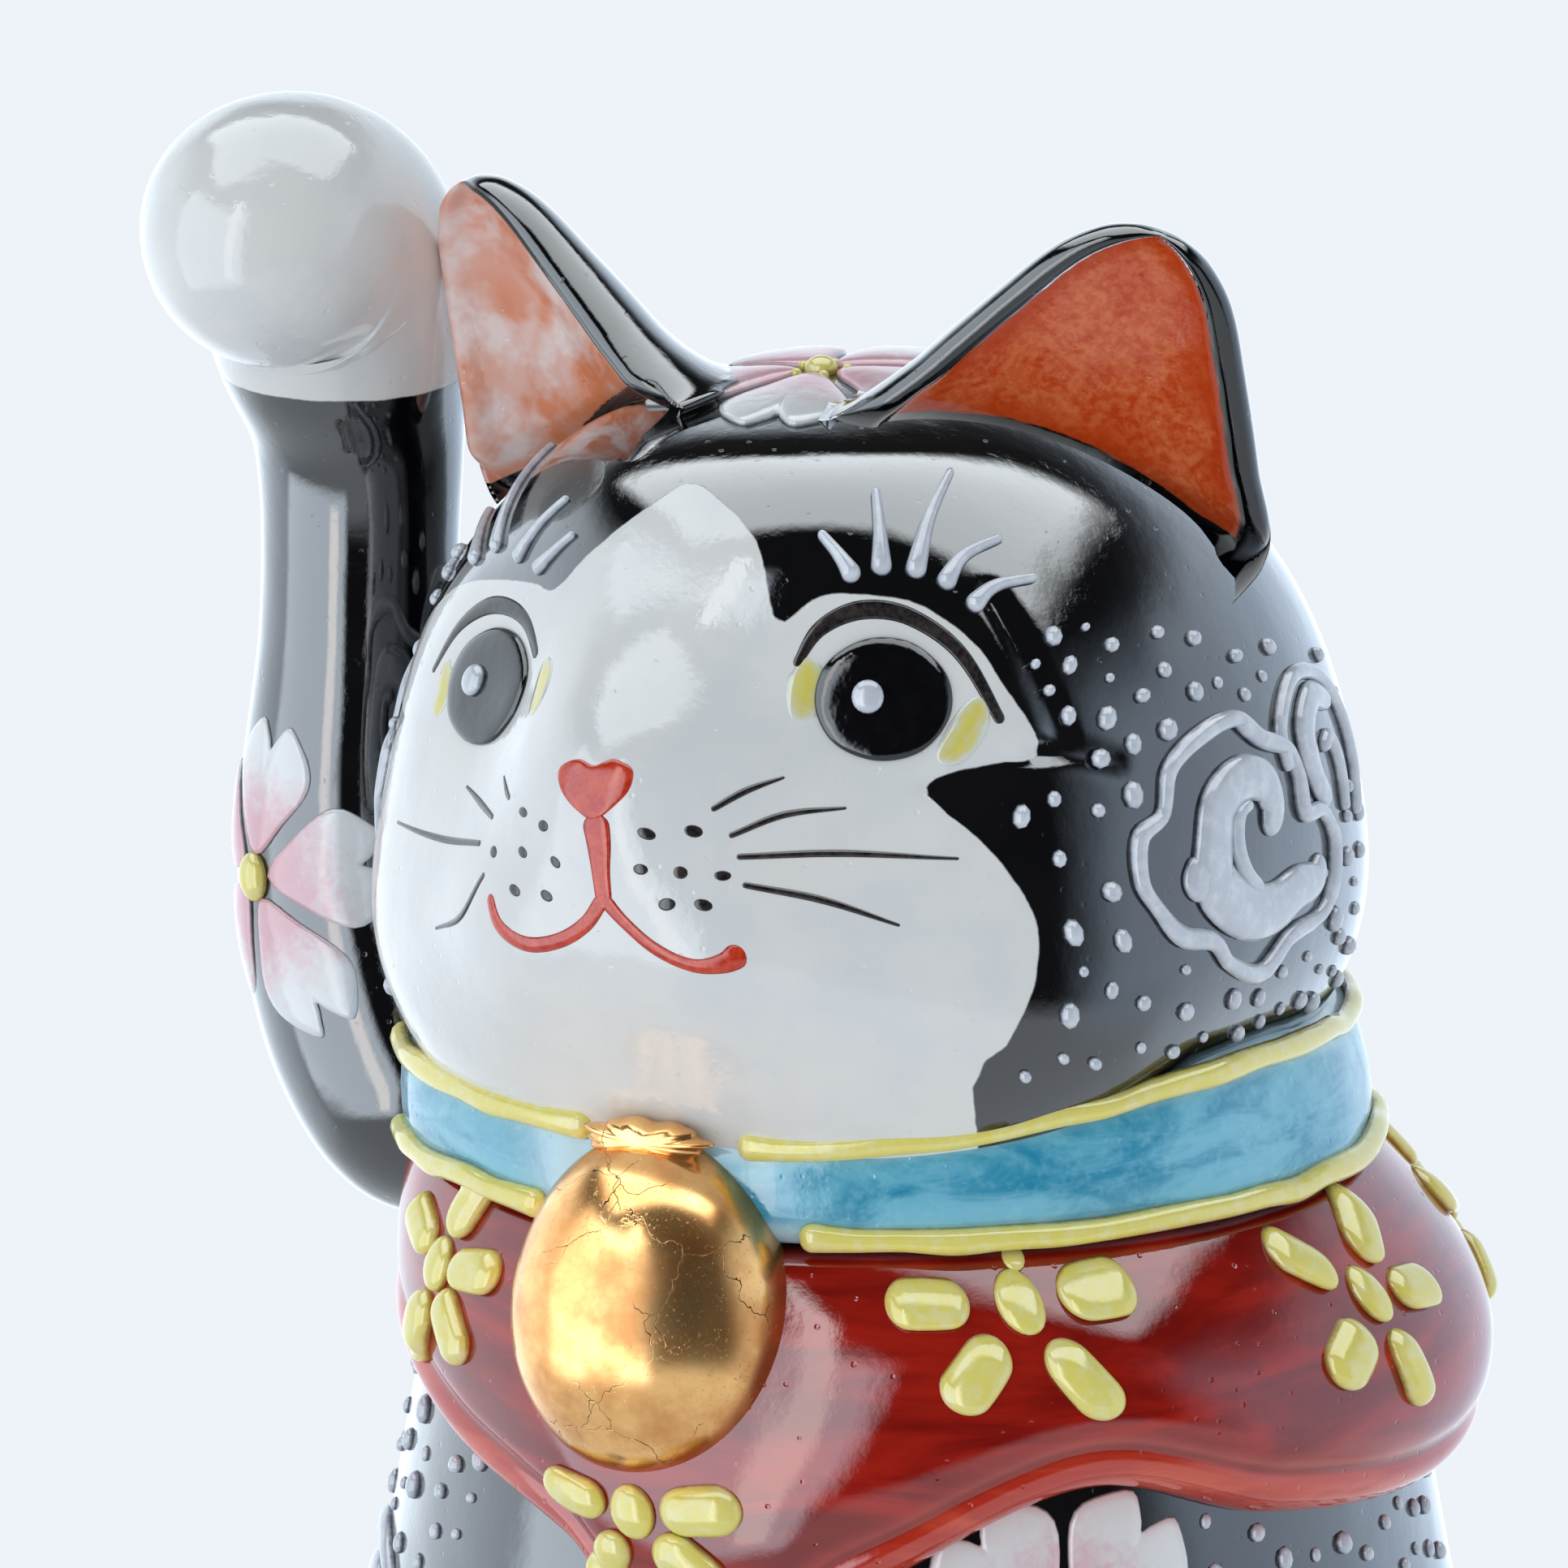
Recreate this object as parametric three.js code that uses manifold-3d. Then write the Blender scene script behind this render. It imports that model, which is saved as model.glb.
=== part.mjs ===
// A seated beckoning cat in slip-cast, hand-enamelled porcelain, in millimetres.
// +Z is up, the cat faces -Y, its left side is +X, and the origin is the middle of the flat base.
// Directions round the cat are given as azimuth in degrees: 0 is straight ahead, 90 is its left.

import * as THREE from "three";
import { mergeVertices } from "three/addons/utils/BufferGeometryUtils.js";
import Module from "manifold-3d";

const wasm = await Module();
wasm.setup();

// ---------------------------------------------------------------- driving dimensions

const WALL = 4; // thickness of the porcelain
const GAP = 0.3; // between neighbouring pieces
const NECK = 103.5; // height of the joint between head and body
const BIG = 300; // side of the cutting boxes

// Head: an egg of these radii about a centre, turned a little to the cat's right.
const HEAD_CENTRE = new THREE.Vector3(0, -4.5, 129);
const HEAD_RADII = new THREE.Vector3(35, 35.5, 32);
const HEAD_SQUARENESS = 2.12;
const HEAD_TURN = -4;
// Swellings of the face: azimuth, elevation, height, spread in azimuth, spread in elevation.
const HEAD_SWELLINGS = [
  { name: "nose bridge", at: [0, 10], height: 6, spread: [15, 13] },
  { name: "muzzle", at: [0, -10], height: 5, spread: [24, 13] },
  { name: "whisker pads", at: [15, -6], height: 1, spread: [10, 10], paired: true },
  { name: "jowls", at: [50, -20], height: 3.4, spread: [30, 18], paired: true },
  { name: "chin", at: [0, -38], height: 4, spread: [60, 14] },
  { name: "eye sockets", at: [27, 18], height: -1.8, spread: [13, 12], paired: true },
  { name: "brows", at: [25, 38], height: 1.4, spread: [20, 9], paired: true },
  { name: "forehead", at: [0, 44], height: 3, spread: [26, 16] },
  { name: "nape", at: [130, -20], height: 2.2, spread: [45, 20], paired: true },
  { name: "back of the head", at: [180, -22], height: 7.5, spread: [50, 34] },
];

// Body sections from the base up: height, half width, reach to the front, reach to the back.
const BODY_SECTIONS = [
  [0, 43, 40, 37],
  [4, 46, 43, 40],
  [24, 47.5, 44.5, 44],
  [45, 45.5, 43.5, 43],
  [67, 41, 42, 40],
  [85, 37.5, 39.5, 36.5],
  [96, 34.5, 36, 33.5],
  [NECK, 31.5, 32.5, 30.5],
];
const BODY_SQUARENESS = 2.15;
const BODY_AXIS = new THREE.Vector2(1.5, 2.5); // the body stands a little back and to its left
const HAUNCH = { azimuth: 66, height: 22, swell: 4.5, spread: [28, 20] };

const BASE_PLATE_THICKNESS = 4;
const VENT = { y: 21, radius: 4.5 }; // the kiln vent, off the middle towards the back

// Ears: a rounded cone leaning outwards and forwards, hollowed at the front.
const EAR = {
  foot: new THREE.Vector3(21, -8.6, 25.3), // middle of its foot from the head's centre
  width: new THREE.Vector3(24.3, 15.6, -9.6), // direction across the foot
  facing: new THREE.Vector3(0.455, -0.849, -0.25),
  halfWidth: 16.2,
  height: 21.6,
  rim: 2.2,
  frontDepth: 0.15, // depths as shares of the half width
  backDepth: 0.62,
  hollowDepth: 0.34,
  root: 9, // runs this far down into the head
  hollowFloor: 1.5, // the hollow starts this far above the foot
};
// Half width and height up an ear as shares, from its foot to its tip.
const EAR_PROFILE = [
  [1, 0],
  [0.81, 0.3],
  [0.6, 0.6],
  [0.44, 0.82],
  [0.28, 0.94],
  [0.13, 0.99],
  [0, 1],
];
const EAR_SPREAD = 1.06; // the root is this much wider than the foot

// Raised right arm: centre and radius along its length, from the shoulder to the paw's tip.
const RAISED_ARM = [
  [-33, 0, 93, 8.6],
  [-39.5, 0, 98, 10.2],
  [-44.2, 0, 106.5, 10.6],
  [-46.7, 0, 119, 9.7],
  [-46.4, 0, 137, 7.9],
  [-46, 0, 152, 7.9],
  [-45.6, -1.5, 161.5, 9.4],
  [-45.4, -6.5, 168, 10.6],
  [-45.2, -14, 170, 10.2],
  [-45, -21, 169, 9],
  [-44.9, -27.5, 167, 6],
];
const LEFT_FORELEG = [
  [16, -27, 74, 8],
  [16, -33, 58, 9.4],
  [15.5, -36, 38, 9.2],
  [15, -38, 18, 8.8],
  [15, -42, 9.4, 9],
  [15, -49, 8, 8],
];
const HIND_FOOT = [
  [31, -24, 12, 11],
  [33.5, -33, 9.6, 9.6],
  [34.5, -45, 8, 7.8],
];
const TAIL = [
  [2, 40, 30, 6.5],
  [14, 47, 22, 7],
  [30, 43, 17, 6.8],
  [43, 30, 16.5, 6.2],
  [50, 14, 17.5, 5.4],
];

// Collar: a band with two piped edges, over the neck joint.
const COLLAR = { radius: 37.2, low: 100.8, high: 110, tilt: 1.3, backing: 7 };
// Each piped edge runs from the bell to the raised arm, round the right and round the left.
const PIPING = {
  width: 1.9,
  height: 1,
  low: { right: [-18.5, -60], left: [15.5, 240] },
  high: { right: [-12, -60], left: [8.5, 240] },
};

// Bib: hangs from the collar, swells and tucks in at a scalloped hem.
const BIB = { top: 100.4, topRadius: 36.8, tuck: 1.4, backing: 3 };
const BIB_HEM = [
  [-180, 77],
  [-145, 79],
  [-110, 85],
  [-85, 89],
  [-62, 87],
  [-45, 84.5],
  [-27, 80.5],
  [-12, 76.5],
  [-5, 72],
  [3, 70],
  [11, 71.4],
  [18, 75],
  [41, 82.5],
  [63, 78.5],
  [88, 76],
  [115, 76.5],
  [150, 79],
  [180, 77],
];
const BIB_SWELL = [
  [-180, 6],
  [-130, 4.5],
  [-90, 1.5],
  [-46, 1.5],
  [-25, 3],
  [-8, 4.6],
  [20, 4.6],
  [60, 5.5],
  [90, 6],
  [180, 6],
];

const BELL = {
  centre: new THREE.Vector3(-1.4, -38.4, 95.5),
  radii: new THREE.Vector3(10.7, 9.6, 12.9),
  lug: { width: 8.8, depth: 4.4, height: 3.4, rise: 12.9 },
};

// Enamel on the head, placed by azimuth and elevation.
const EYE = { azimuth: 30.5, elevation: 20, radius: 4.8, height: 1.1, highlight: 1.1 };
const LASHES = [
  { root: [27, 35.5], tip: [22, 40] },
  { root: [31, 36], tip: [30.5, 46.5] },
  { root: [35.5, 35.5], tip: [44.5, 50.5] },
  { root: [39.5, 34.5], tip: [50, 40.5] },
  { root: [43, 32], tip: [54, 35] },
];
const LASH = { width: 1.1, height: 0.9 };
const LARGE_SCROLL = { azimuth: 85, elevation: -1, reach: 10, turns: 1.9, angle: 200 };
const SMALL_SCROLL = { azimuth: 107, elevation: 18, reach: 5.2, turns: 1.5, angle: 60 };
const SCROLL_BEAD = { width: 1.7, height: 0.9 };
const PETAL_FOOT = 1.8; // from the blossom's middle
const CROWN_BLOSSOM = { azimuth: -9, elevation: 82, petal: [8.7, 6], height: 0.9, turn: 62 };

// Blossoms on the bib: long dabs at these angles round a middle one, placed by azimuth and height.
const BIB_BLOSSOMS = [
  { name: "front", azimuth: -2, height: 81.3, dabs: [0, 180, 236, 304] },
  { name: "left", azimuth: 38, height: 97, dabs: [0, 180, 232, 304] },
  { name: "right", azimuth: -35, height: 93.4, dabs: [8, 68, 156, 246, 316] },
];
const DAB = { length: 4.8, width: 2.8, height: 1.1, reach: 5.5, middle: 3 };
const LEFT_BLOSSOM_DOT = { azimuth: 38.5, height: 99.4, radius: 0.6 };

// ---------------------------------------------------------------- materials

const finish = (color, roughness, metalness = 0) => ({ color, roughness, metalness });
const FINISHES = {
  blackGlaze: finish(0x0c0d10, 0.12),
  bisque: finish(0xe6ded0, 0.75),
  redGlaze: finish(0x8f1f18, 0.15),
  blueEnamel: finish(0x58b4cf, 0.2),
  yellowEnamel: finish(0xe6d96a, 0.25),
  whiteEnamel: finish(0xe9ebee, 0.25),
  gold: finish(0xc79a4e, 0.22, 1),
};

// ---------------------------------------------------------------- working with solids

// A closed three.js geometry as a manifold solid with its faces pointing out.
function solidOf(geometry) {
  const bare = new THREE.BufferGeometry().setIndex(geometry.index);
  bare.setAttribute("position", geometry.attributes.position);
  const merged = mergeVertices(bare, 1e-4);
  const { array } = merged.index;
  const triVerts = [];
  for (let i = 0; i < array.length; i += 3) {
    const [a, b, c] = [array[i], array[i + 1], array[i + 2]];
    if (a !== b && b !== c && c !== a) triVerts.push(a, b, c);
  }
  const build = (indices) =>
    new wasm.Manifold(
      new wasm.Mesh({
        numProp: 3,
        vertProperties: merged.attributes.position.array,
        triVerts: new Uint32Array(indices),
      }),
    );
  const solid = build(triVerts);
  return solid.volume() < 0 ? build(triVerts.reverse()) : solid;
}

function geometryOf(solid) {
  const { numProp, numVert, vertProperties, triVerts } = solid.getMesh();
  const position = new Float32Array(numVert * 3);
  for (let i = 0; i < numVert; i++) {
    position.set(vertProperties.subarray(i * numProp, i * numProp + 3), i * 3);
  }
  const geometry = new THREE.BufferGeometry();
  geometry.setAttribute("position", new THREE.BufferAttribute(position, 3));
  geometry.setIndex(new THREE.BufferAttribute(triVerts, 1));
  geometry.computeVertexNormals();
  return geometry;
}

const without = (solid, ...tools) => tools.reduce((left, tool) => left.subtract(tool), solid);

// A box whose faces are far away, except the one at the given height.
function boxAbove(height) {
  return solidOf(new THREE.BoxGeometry(BIG, BIG, BIG).translate(0, 0, height + BIG / 2));
}

// A sphere's grid of vertices carried onto a skin: skin(t, turn) with t from 0 at one pole to 1.
function swept(rows, sides, skin) {
  const geometry = new THREE.SphereGeometry(1, sides, rows);
  const { position, uv } = geometry.attributes;
  for (let i = 0; i < position.count; i++) {
    const t = 1 - uv.getY(i);
    const turn = 2 * Math.PI * (uv.getX(i) % 1);
    position.setXYZ(i, ...skin(t, turn).toArray());
  }
  return solidOf(geometry);
}

// A torus's grid of vertices carried onto a ring: profile(azimuth) gives the points of its section.
function ring(steps, corners, profile) {
  const geometry = new THREE.TorusGeometry(2, 1, corners, steps);
  const { position, uv } = geometry.attributes;
  for (let i = 0; i < position.count; i++) {
    const azimuth = 360 * (uv.getX(i) % 1) - 180;
    const corner = Math.round(uv.getY(i) * corners) % corners;
    position.setXYZ(i, ...profile(azimuth)[corner].toArray());
  }
  return solidOf(geometry);
}

// ---------------------------------------------------------------- curves and directions

const rad = THREE.MathUtils.degToRad;
const outwards = (azimuth) => new THREE.Vector3(Math.sin(rad(azimuth)), -Math.cos(rad(azimuth)), 0);

// A smooth curve through rows of [place, value, ...]: the values at one place.
function along(rows, place) {
  const last = rows.length - 2;
  let i = rows.findIndex((row) => row[0] > place) - 1;
  i = i < 0 ? (place < rows[0][0] ? 0 : last) : i;
  const [p0, p1, p2, p3] = [rows[Math.max(i - 1, 0)], rows[i], rows[i + 1], rows[Math.min(i + 2, last + 1)]];
  const span = p2[0] - p1[0];
  const t = THREE.MathUtils.clamp((place - p1[0]) / span, 0, 1);
  return p1.slice(1).map((value, k) => {
    const next = p2[k + 1];
    const leave = ((next - p0[k + 1]) / (p2[0] - p0[0])) * span;
    const arrive = ((p3[k + 1] - value) / (p3[0] - p1[0])) * span;
    const bend = value * (1 + 2 * t) * (1 - t) ** 2 + next * t * t * (3 - 2 * t);
    return bend + leave * t * (1 - t) ** 2 - arrive * t * t * (1 - t);
  });
}

// A round-ended limb along rows of [x, y, z, radius], fattened by some allowance.
function limb(rows, allowance = 0, steps = 22, sides = 14) {
  const curve = new THREE.CatmullRomCurve3(rows.map(([x, y, z]) => new THREE.Vector3(x, y, z)));
  const radii = rows.map((row, i) => [i / (rows.length - 1), row[3]]);
  const frames = curve.computeFrenetFrames(steps);
  const length = curve.getLength();
  return swept(steps, sides, (t, turn) => {
    const i = Math.round(t * steps);
    // Rows crowd towards both ends, where the skin closes as a half ball.
    const share = (1 - Math.cos(Math.PI * t)) / 2;
    const radius = along(radii, share)[0] + allowance;
    const endReach = Math.min(share, 1 - share) * length;
    const round = Math.sqrt(Math.max(0, 1 - Math.max(0, 1 - endReach / radius) ** 2));
    const centre = curve.getPoint(share);
    const tangent = curve.getTangent(share);
    const across = frames.normals[i].clone().addScaledVector(tangent, -frames.normals[i].dot(tangent));
    across.normalize();
    const up = new THREE.Vector3().crossVectors(tangent, across);
    return centre
      .addScaledVector(across, radius * round * Math.cos(turn))
      .addScaledVector(up, radius * round * Math.sin(turn));
  });
}

// ---------------------------------------------------------------- head surface

function headRadius(azimuth, elevation) {
  const { x, y } = outwards(azimuth).multiplyScalar(Math.cos(rad(elevation)));
  const terms = [x / HEAD_RADII.x, y / HEAD_RADII.y, Math.sin(rad(elevation)) / HEAD_RADII.z];
  const sum = terms.reduce((total, term) => total + Math.abs(term) ** HEAD_SQUARENESS, 0);
  let radius = sum ** (-1 / HEAD_SQUARENESS);
  for (const { at, height, spread, paired } of HEAD_SWELLINGS) {
    for (const side of paired ? [1, -1] : [1]) {
      const turn = THREE.MathUtils.euclideanModulo(azimuth - side * at[0] + 180, 360) - 180;
      const across = (turn * Math.cos(rad(elevation))) / spread[0];
      radius += height * Math.exp(-(across ** 2) - ((elevation - at[1]) / spread[1]) ** 2);
    }
  }
  return radius;
}

// The point in some direction from the head's centre, raised above the head's skin.
function headPointTowards(direction, raised = 0) {
  const { x, y, z } = direction.clone().normalize();
  const azimuth = THREE.MathUtils.radToDeg(Math.atan2(x, -y));
  const elevation = THREE.MathUtils.radToDeg(Math.asin(z));
  return placeOnHead(new THREE.Vector3(x, y, z).multiplyScalar(headRadius(azimuth, elevation) + raised));
}

const UP = new THREE.Vector3(0, 0, 1);
const placeOnHead = (point) => point.clone().applyAxisAngle(UP, rad(HEAD_TURN)).add(HEAD_CENTRE);

function headDirection([azimuth, elevation]) {
  return outwards(azimuth).multiplyScalar(Math.cos(rad(elevation))).setZ(Math.sin(rad(elevation)));
}

function headSolid(raised, rows, sides) {
  const geometry = new THREE.SphereGeometry(1, sides, rows).rotateX(Math.PI / 2);
  const { position } = geometry.attributes;
  for (let i = 0; i < position.count; i++) {
    const direction = new THREE.Vector3().fromBufferAttribute(position, i);
    position.setXYZ(i, ...headPointTowards(direction, raised).toArray());
  }
  return solidOf(geometry);
}

// A patch of the head's skin about one place, as a map from flat (x, y, height) to space.
function headPatch(place, angle = 0) {
  const outward = headDirection(place);
  const flat = headRadius(...place);
  const right = new THREE.Vector3().crossVectors(UP, outward).normalize();
  const above = new THREE.Vector3().crossVectors(outward, right);
  right.applyAxisAngle(outward, rad(angle));
  above.applyAxisAngle(outward, rad(angle));
  return (x, y, height) => {
    const direction = outward.clone().multiplyScalar(flat);
    direction.addScaledVector(right, x).addScaledVector(above, y);
    return headPointTowards(direction, height + GAP);
  };
}

// ---------------------------------------------------------------- body and bib surfaces

function bodyRadius(azimuth, height) {
  const [half, front, back] = along(BODY_SECTIONS, height);
  const { x, y } = outwards(azimuth);
  const reach = y < 0 ? front : back;
  const sum = Math.abs(x / half) ** BODY_SQUARENESS + Math.abs(y / reach) ** BODY_SQUARENESS;
  const away = (Math.abs(azimuth) - HAUNCH.azimuth) / HAUNCH.spread[0];
  const above = (height - HAUNCH.height) / HAUNCH.spread[1];
  return sum ** (-1 / BODY_SQUARENESS) + HAUNCH.swell * Math.exp(-(away ** 2) - above ** 2);
}

function bodySolid(raised, low, high, rows, sides) {
  const geometry = new THREE.CylinderGeometry(1, 1, 1, sides, rows).rotateX(Math.PI / 2);
  const { position } = geometry.attributes;
  for (let i = 0; i < position.count; i++) {
    const [x, y, z] = [position.getX(i), position.getY(i), position.getZ(i) + 0.5];
    const height = low + z * (high - low);
    const azimuth = THREE.MathUtils.radToDeg(Math.atan2(x, -y));
    const share = Math.hypot(x, y) * (bodyRadius(azimuth, height) + raised);
    const skin = outwards(azimuth).multiplyScalar(share);
    position.setXYZ(i, skin.x + BODY_AXIS.x, skin.y + BODY_AXIS.y, height);
  }
  return solidOf(geometry);
}

const bibHem = (azimuth) => along(BIB_HEM, azimuth)[0];

// A place on the bib, raised above its skin: it hangs from the collar and follows the body below.
function bibPoint(azimuth, height, raised = 0) {
  const hem = bibHem(azimuth);
  const drop = THREE.MathUtils.clamp((BIB.top - height) / (BIB.top - hem), 0, 1);
  const share = drop * drop * (3 - 2 * drop);
  const foot = bodyRadius(azimuth, hem) + BIB.tuck;
  const lean = THREE.MathUtils.lerp(BIB.topRadius, foot, share);
  const swell = along(BIB_SWELL, azimuth)[0] * Math.sin(Math.PI * drop) ** 0.8;
  const skin = outwards(azimuth).multiplyScalar(lean + swell + raised);
  return skin.set(skin.x + BODY_AXIS.x * share, skin.y + BODY_AXIS.y * share, height);
}

// A patch of the bib about one place, as a map from flat (x, y, height) to space.
function bibPatch([azimuth, height], angle) {
  const middle = bibPoint(azimuth, height);
  const around = Math.hypot(middle.x, middle.y);
  const [cos, sin] = [Math.cos(rad(angle)), Math.sin(rad(angle))];
  return (x, y, raised) => {
    const turned = azimuth + THREE.MathUtils.radToDeg((x * cos - y * sin) / around);
    return bibPoint(turned, height + x * sin + y * cos, raised + GAP);
  };
}

const collarTop = (azimuth) => COLLAR.high - COLLAR.tilt * Math.cos(rad(azimuth));

// ---------------------------------------------------------------- enamel

// A raised bead of enamel with a flat underside, along points [x, y] of a patch.
function bead(points, { width, height }, patch, { taper = 1, steps = 6, sides = 6 } = {}) {
  const curve = new THREE.CatmullRomCurve3(points.map(([x, y]) => new THREE.Vector3(x, y, 0)));
  const length = curve.getLength();
  return swept(steps, sides, (t, turn) => {
    const share = (1 - Math.cos(Math.PI * t)) / 2;
    const half = (width / 2) * THREE.MathUtils.lerp(1, taper, share);
    const endReach = Math.min(share, 1 - share) * length;
    const round = Math.sqrt(Math.max(0, 1 - Math.max(0, 1 - endReach / half) ** 2));
    const { x, y } = curve.getPoint(share);
    const tangent = curve.getTangent(share);
    const across = half * round * Math.cos(turn);
    const raised = height * THREE.MathUtils.lerp(1, taper, share) * round * Math.max(0, Math.sin(turn));
    return patch(x - tangent.y * across, y + tangent.x * across, raised);
  });
}

// A domed disc of enamel on a patch.
function dome(radius, height, patch, rows = 6, sides = 14) {
  return swept(rows, sides, (t, turn) => {
    const lean = Math.PI * t;
    const flat = radius * Math.sin(lean);
    return patch(flat * Math.cos(turn), flat * Math.sin(turn), height * Math.max(0, Math.cos(lean)));
  });
}

function spiral({ reach, turns }, count = 12) {
  return Array.from({ length: count }, (_, i) => {
    const share = i / (count - 1);
    const angle = 2 * Math.PI * turns * share;
    const radius = reach * (0.16 + 0.84 * share);
    return [radius * Math.cos(angle), radius * Math.sin(angle)];
  });
}

// A notched petal as a flat outline pressed onto a patch, its foot at the patch's middle.
function petal([length, width], height, patch) {
  const outline = new THREE.Shape();
  outline.moveTo(0, PETAL_FOOT);
  outline.bezierCurveTo(width * 0.6, length * 0.5, width * 0.6, length, width * 0.22, length);
  outline.lineTo(0, length * 0.84);
  outline.lineTo(-width * 0.22, length);
  outline.bezierCurveTo(-width * 0.6, length, -width * 0.6, length * 0.5, 0, PETAL_FOOT);
  const geometry = new THREE.ExtrudeGeometry(outline, { depth: height, bevelEnabled: false, curveSegments: 7 });
  const { position } = geometry.attributes;
  for (let i = 0; i < position.count; i++) {
    const skin = patch(position.getX(i), position.getY(i), position.getZ(i));
    position.setXYZ(i, ...skin.toArray());
  }
  return solidOf(geometry);
}

// ---------------------------------------------------------------- castings

const cat = new THREE.Group();

function add(name, solid, look) {
  const mesh = new THREE.Mesh(geometryOf(solid), new THREE.MeshStandardMaterial(FINISHES[look]));
  mesh.name = name;
  cat.add(mesh);
}

// Plainer skins stand a little further out, so their flat faces still clear what they cut for.
const PLAIN_GAP = 0.5;
const headAllowance = headSolid(PLAIN_GAP, 20, 32);
const BODY_GRID = [16, 36]; // rows and sides
const neckAllowance = bodySolid(PLAIN_GAP, NECK - 2, NECK + 8, 1, BODY_GRID[1]);
const bodyAllowance = bodySolid(PLAIN_GAP, 0, NECK, ...BODY_GRID).add(neckAllowance);

function headCasting() {
  const outside = headSolid(0, 26, 40);
  const inside = headSolid(-WALL, 10, 18);
  return outside.subtract(inside).intersect(boxAbove(NECK + GAP));
}

const bodyHollow = (margin) => bodySolid(-WALL - margin, -1, NECK + 1, 8, 24);

function bodyCasting() {
  return bodySolid(0, 0, NECK, ...BODY_GRID).subtract(bodyHollow(0));
}

function basePlate() {
  const plate = without(bodyHollow(2 * GAP).intersect(boxAbove(0)), boxAbove(BASE_PLATE_THICKNESS));
  const vent = new THREE.CylinderGeometry(VENT.radius, VENT.radius, BIG, 20).rotateX(Math.PI / 2);
  return plate.subtract(solidOf(vent.translate(0, VENT.y, 0)));
}

// One ear: the cone and its hollow are both turned shapes, pressed flat at the front.
function ear(side) {
  const mirrored = (vector) => new THREE.Vector3(side * vector.x, vector.y, vector.z);
  const across = mirrored(EAR.width).normalize();
  const facing = mirrored(EAR.facing).normalize();
  facing.addScaledVector(across, -facing.dot(across)).normalize();
  const tall = new THREE.Vector3().crossVectors(across, facing);
  tall.multiplyScalar(Math.sign(tall.z));
  const shell = (margin, front, back, low) => {
    const half = EAR.halfWidth - margin;
    const top = EAR.height - margin * 1.3;
    const corners = EAR_PROFILE.map(([x, y]) => [half * x, top * y]);
    corners.unshift([0, low], [half * EAR_SPREAD, low]);
    const profile = corners.map(([x, y]) => new THREE.Vector2(x, y));
    const geometry = new THREE.LatheGeometry(profile, 20);
    const { position } = geometry.attributes;
    for (let i = 0; i < position.count; i++) {
      const [x, y, z] = [position.getX(i), position.getY(i), position.getZ(i)];
      const point = mirrored(EAR.foot).addScaledVector(across, x).addScaledVector(tall, y);
      point.addScaledVector(facing, z * (z > 0 ? front : back));
      position.setXYZ(i, ...placeOnHead(point).toArray());
    }
    return solidOf(geometry);
  };
  const outside = shell(0, EAR.frontDepth, EAR.backDepth, -EAR.root);
  const hollow = shell(EAR.rim, 1, EAR.hollowDepth, EAR.hollowFloor);
  return without(outside, hollow, headAllowance);
}

// ---------------------------------------------------------------- collar, bib and bell

function collarSolid(raised) {
  return ring(44, 6, (azimuth) => {
    const [low, high] = [COLLAR.low - raised, collarTop(azimuth) + raised];
    const middle = (low + high) / 2;
    const at = (radius, height) => outwards(azimuth).multiplyScalar(radius).setZ(height);
    const outer = COLLAR.radius + raised;
    const inner = COLLAR.radius - COLLAR.backing;
    const skin = [at(outer, low), at(outer + 0.5, middle), at(outer - 0.3, high)];
    return [...skin, at(inner, high), at(inner, middle), at(inner, low)];
  });
}

// The piping follows one edge of the band between two azimuths.
function piping([start, end], height) {
  const { width, height: rise } = PIPING;
  const length = Math.abs(rad(end - start)) * COLLAR.radius;
  const steps = Math.round(8 + length / 6);
  return swept(steps, 6, (t, turn) => {
    const share = (1 - Math.cos(Math.PI * t)) / 2;
    const endReach = Math.min(share, 1 - share) * length;
    const round = Math.sqrt(Math.max(0, 1 - Math.max(0, 1 - endReach / (width / 2)) ** 2));
    const azimuth = start + (end - start) * share;
    const raised = GAP + 0.5 + rise * round * Math.max(0, Math.sin(turn));
    const skin = outwards(azimuth).multiplyScalar(COLLAR.radius + raised);
    return skin.setZ(height(azimuth) + (width / 2) * round * Math.cos(turn));
  });
}

function bibSolid() {
  const fall = 7;
  return ring(54, fall + 4, (azimuth) => {
    const hem = bibHem(azimuth);
    const outer = Array.from({ length: fall + 1 }, (_, i) => {
      return bibPoint(azimuth, BIB.top + (i / fall) * (hem + 1 - BIB.top));
    });
    const inwards = (height, depth) => bibPoint(azimuth, height, -depth).setZ(height);
    return [...outer, inwards(hem, 1.2), inwards(hem, BIB.backing), inwards(BIB.top, BIB.backing + 4)];
  });
}

function ellipsoid(centre, radii, sides, rows) {
  return solidOf(new THREE.SphereGeometry(1, sides, rows).scale(...radii).translate(...centre));
}

// ---------------------------------------------------------------- the assembly

const arm = without(limb(RAISED_ARM), headAllowance, bodyAllowance, collarSolid(GAP));
const armAllowance = limb(RAISED_ARM, PLAIN_GAP);
const bib = without(bibSolid(), bodyAllowance, armAllowance);
const bellSolid = (raised) => {
  return ellipsoid(BELL.centre.toArray(), BELL.radii.clone().addScalar(raised).toArray(), 20, 12);
};
const bellAllowance = bellSolid(GAP);
const collar = without(collarSolid(0), headAllowance, bodyAllowance, bellAllowance);

add("body_casting", bodyCasting(), "blackGlaze");
add("base_plate", basePlate(), "bisque");
add("head_casting", headCasting(), "blackGlaze");
add("left_ear", ear(1), "blackGlaze");
add("right_ear", ear(-1), "blackGlaze");
add("raised_arm", arm, "blackGlaze");

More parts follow.
